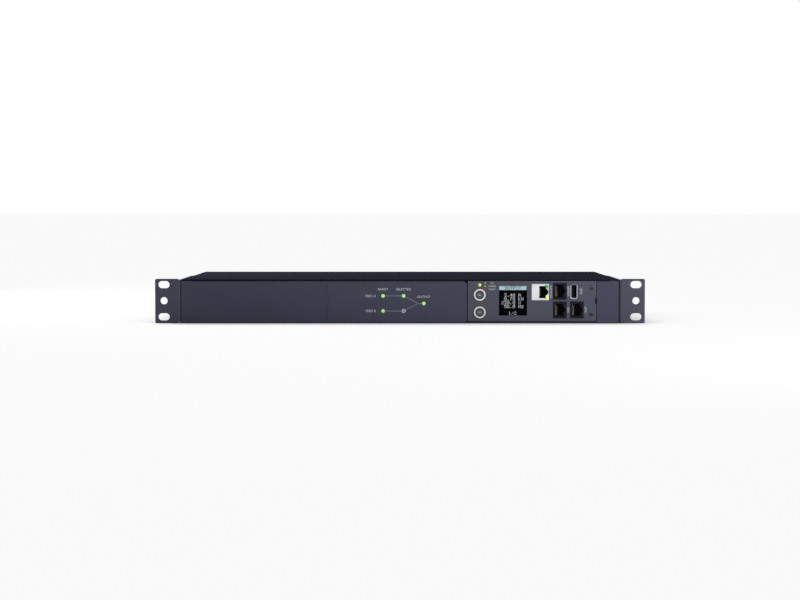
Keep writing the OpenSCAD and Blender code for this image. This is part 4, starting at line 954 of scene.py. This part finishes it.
class Stage(bpy.types.Operator):
    """Sets the floor, the lights and the camera"""
    bl_idname = "transfer_switch.stage"
    bl_label = "Stage"

    def execute(self, context):
        look = context.scene.switch_stage
        self.floor()
        self.sky(context, look)
        self.area(context, "key_light", *KEY_LIGHT, look.key)
        self.area(context, "rim_light", *RIM_LIGHT, look.rim)
        lens = bpy.data.cameras.new("camera")
        lens.lens = look.lens
        lens.sensor_width = 36
        lens.clip_end = 50
        camera = bpy.data.objects.new("camera", lens)
        context.collection.objects.link(camera)
        camera.location = (0, -look.distance, look.eye)
        aim = Vector((0, CAD_LOW.y, look.target)) - camera.location
        camera.rotation_euler = aim.to_track_quat("-Z", "Y").to_euler()
        context.scene.camera = camera
        context.scene.view_settings.view_transform = "Standard"
        return {"FINISHED"}

    @staticmethod
    def area(context, name, place, target, size, power):
        lamp = bpy.data.lights.new(name, "AREA")
        lamp.size = size
        lamp.energy = power
        made = bpy.data.objects.new(name, lamp)
        context.collection.objects.link(made)
        made.location = place
        made.rotation_euler = (Vector(target) - Vector(place)).to_track_quat("-Z", "Y").to_euler()

    @staticmethod
    def floor():
        """A white floor that shows as white away from the object and keeps its shadow; near the object,
        ambient occlusion paints a contact shadow into its colour and fades its white glow.
        """
        work = bmesh.new()
        bmesh.ops.create_grid(work, x_segments=1, y_segments=1, size=FLOOR_REACH)
        mesh = bpy.data.meshes.new("floor")
        work.to_mesh(mesh)
        work.free()
        made = bpy.data.objects.new("floor", mesh)
        bpy.context.collection.objects.link(made)
        paper = Finish("floor_paper", (0.9, 0.9, 0.9), 0.9, 0.0, 0.0)
        grain = paper.noise(2*MM, 2.0)
        # Painted shadow: ambient occlusion darkens the floor's colour and fades its white glow near the
        # object
        near = paper.node(
            "ShaderNodeAmbientOcclusion", {"samples": 8}, {"Distance": PAINTED_SHADOW_REACH}, output="AO",
        )
        clear_of_painted_shadow = paper.node("ShaderNodeMapRange", values={"Value": near, "From Min": 0.45, "From Max": 0.9})
        tone_and_painted_shade = paper.range(grain, 0.97, 1.03)*paper.range(clear_of_painted_shadow, 0.2, 1.0)
        paper.put({"Base Color": paper.shade(tone_and_painted_shade)})
        rays = [
            paper.node("ShaderNodeLightPath", output=kind)
            for kind in ("Is Camera Ray", "Is Glossy Ray", "Is Transmission Ray")
        ]
        shown = rays[0].maths("MAXIMUM", rays[1]).maths("MAXIMUM", rays[2])
        glow = paper.node("ShaderNodeEmission", values={"Color": (1, 1, 1, 1), "Strength": 1.0})
        surface = Value(paper, paper.shader.outputs[0])
        both = paper.node("ShaderNodeMixShader", values={0: clear_of_painted_shadow*shown*0.94, 1: surface, 2: glow})
        end = paper.tree.nodes["Material Output"]
        paper.tree.links.new(both.socket, end.inputs["Surface"])
        mesh.materials.append(paper.material)

    @staticmethod
    def sky(context, look):
        """A plain white surround: full white to the eye and in reflections, softer as a light."""
        world = bpy.data.worlds.new("surround")
        world.use_nodes = True
        context.scene.world = world
        tree = world.node_tree
        path = tree.nodes.new("ShaderNodeLightPath")
        seen = tree.nodes.new("ShaderNodeMath")
        seen.operation = "MAXIMUM"
        tree.links.new(path.outputs["Is Camera Ray"], seen.inputs[0])
        mirrored = tree.nodes.new("ShaderNodeMath")
        mirrored.operation = "MAXIMUM"
        tree.links.new(path.outputs["Is Glossy Ray"], mirrored.inputs[0])
        tree.links.new(path.outputs["Is Transmission Ray"], mirrored.inputs[1])
        tree.links.new(mirrored.outputs[0], seen.inputs[1])
        spread = tree.nodes.new("ShaderNodeMapRange")
        spread.inputs["To Min"].default_value = look.sky
        spread.inputs["To Max"].default_value = 1.0
        tree.links.new(seen.outputs[0], spread.inputs["Value"])
        ground = tree.nodes["Background"]
        ground.inputs["Color"].default_value = (1, 1, 1, 1)
        tree.links.new(spread.outputs["Result"], ground.inputs["Strength"])


# ---------------------------------------------------------------- Add-on

class SwitchPanel(bpy.types.Panel):
    """Lists the steps and their sizes"""
    bl_idname = "VIEW3D_PT_transfer_switch"
    bl_label = "Transfer switch"
    bl_space_type = "VIEW_3D"
    bl_region_type = "UI"
    bl_category = "Transfer switch"

    def draw(self, context):
        for name, group in GROUPS.items():
            box = self.layout.box()
            for value in group.__annotations__:
                box.prop(getattr(context.scene, name), value)
        for step in STEPS:
            self.layout.operator(step.bl_idname)


GROUPS = {
    "switch_case": CaseLook, "switch_print": PrintLook, "switch_lights": LightLook,
    "switch_parts": FineParts, "switch_stage": StageLook,
}
STEPS = (CaseFinish, MimicFinish, ModuleFinish, DisplayFinish, PortFinish, BackFinish, InsideFinish, Stage)


def register():
    for kind in (*GROUPS.values(), *STEPS, SwitchPanel):
        bpy.utils.register_class(kind)
    for name, group in GROUPS.items():
        setattr(bpy.types.Scene, name, PointerProperty(type=group))


def unregister():
    for name in GROUPS:
        delattr(bpy.types.Scene, name)
    for kind in reversed((*GROUPS.values(), *STEPS, SwitchPanel)):
        bpy.utils.unregister_class(kind)


def main():
    register()
    for step in STEPS:
        family, name = step.bl_idname.split(".")
        getattr(getattr(bpy.ops, family), name)()


if __name__ == "__main__":
    main()
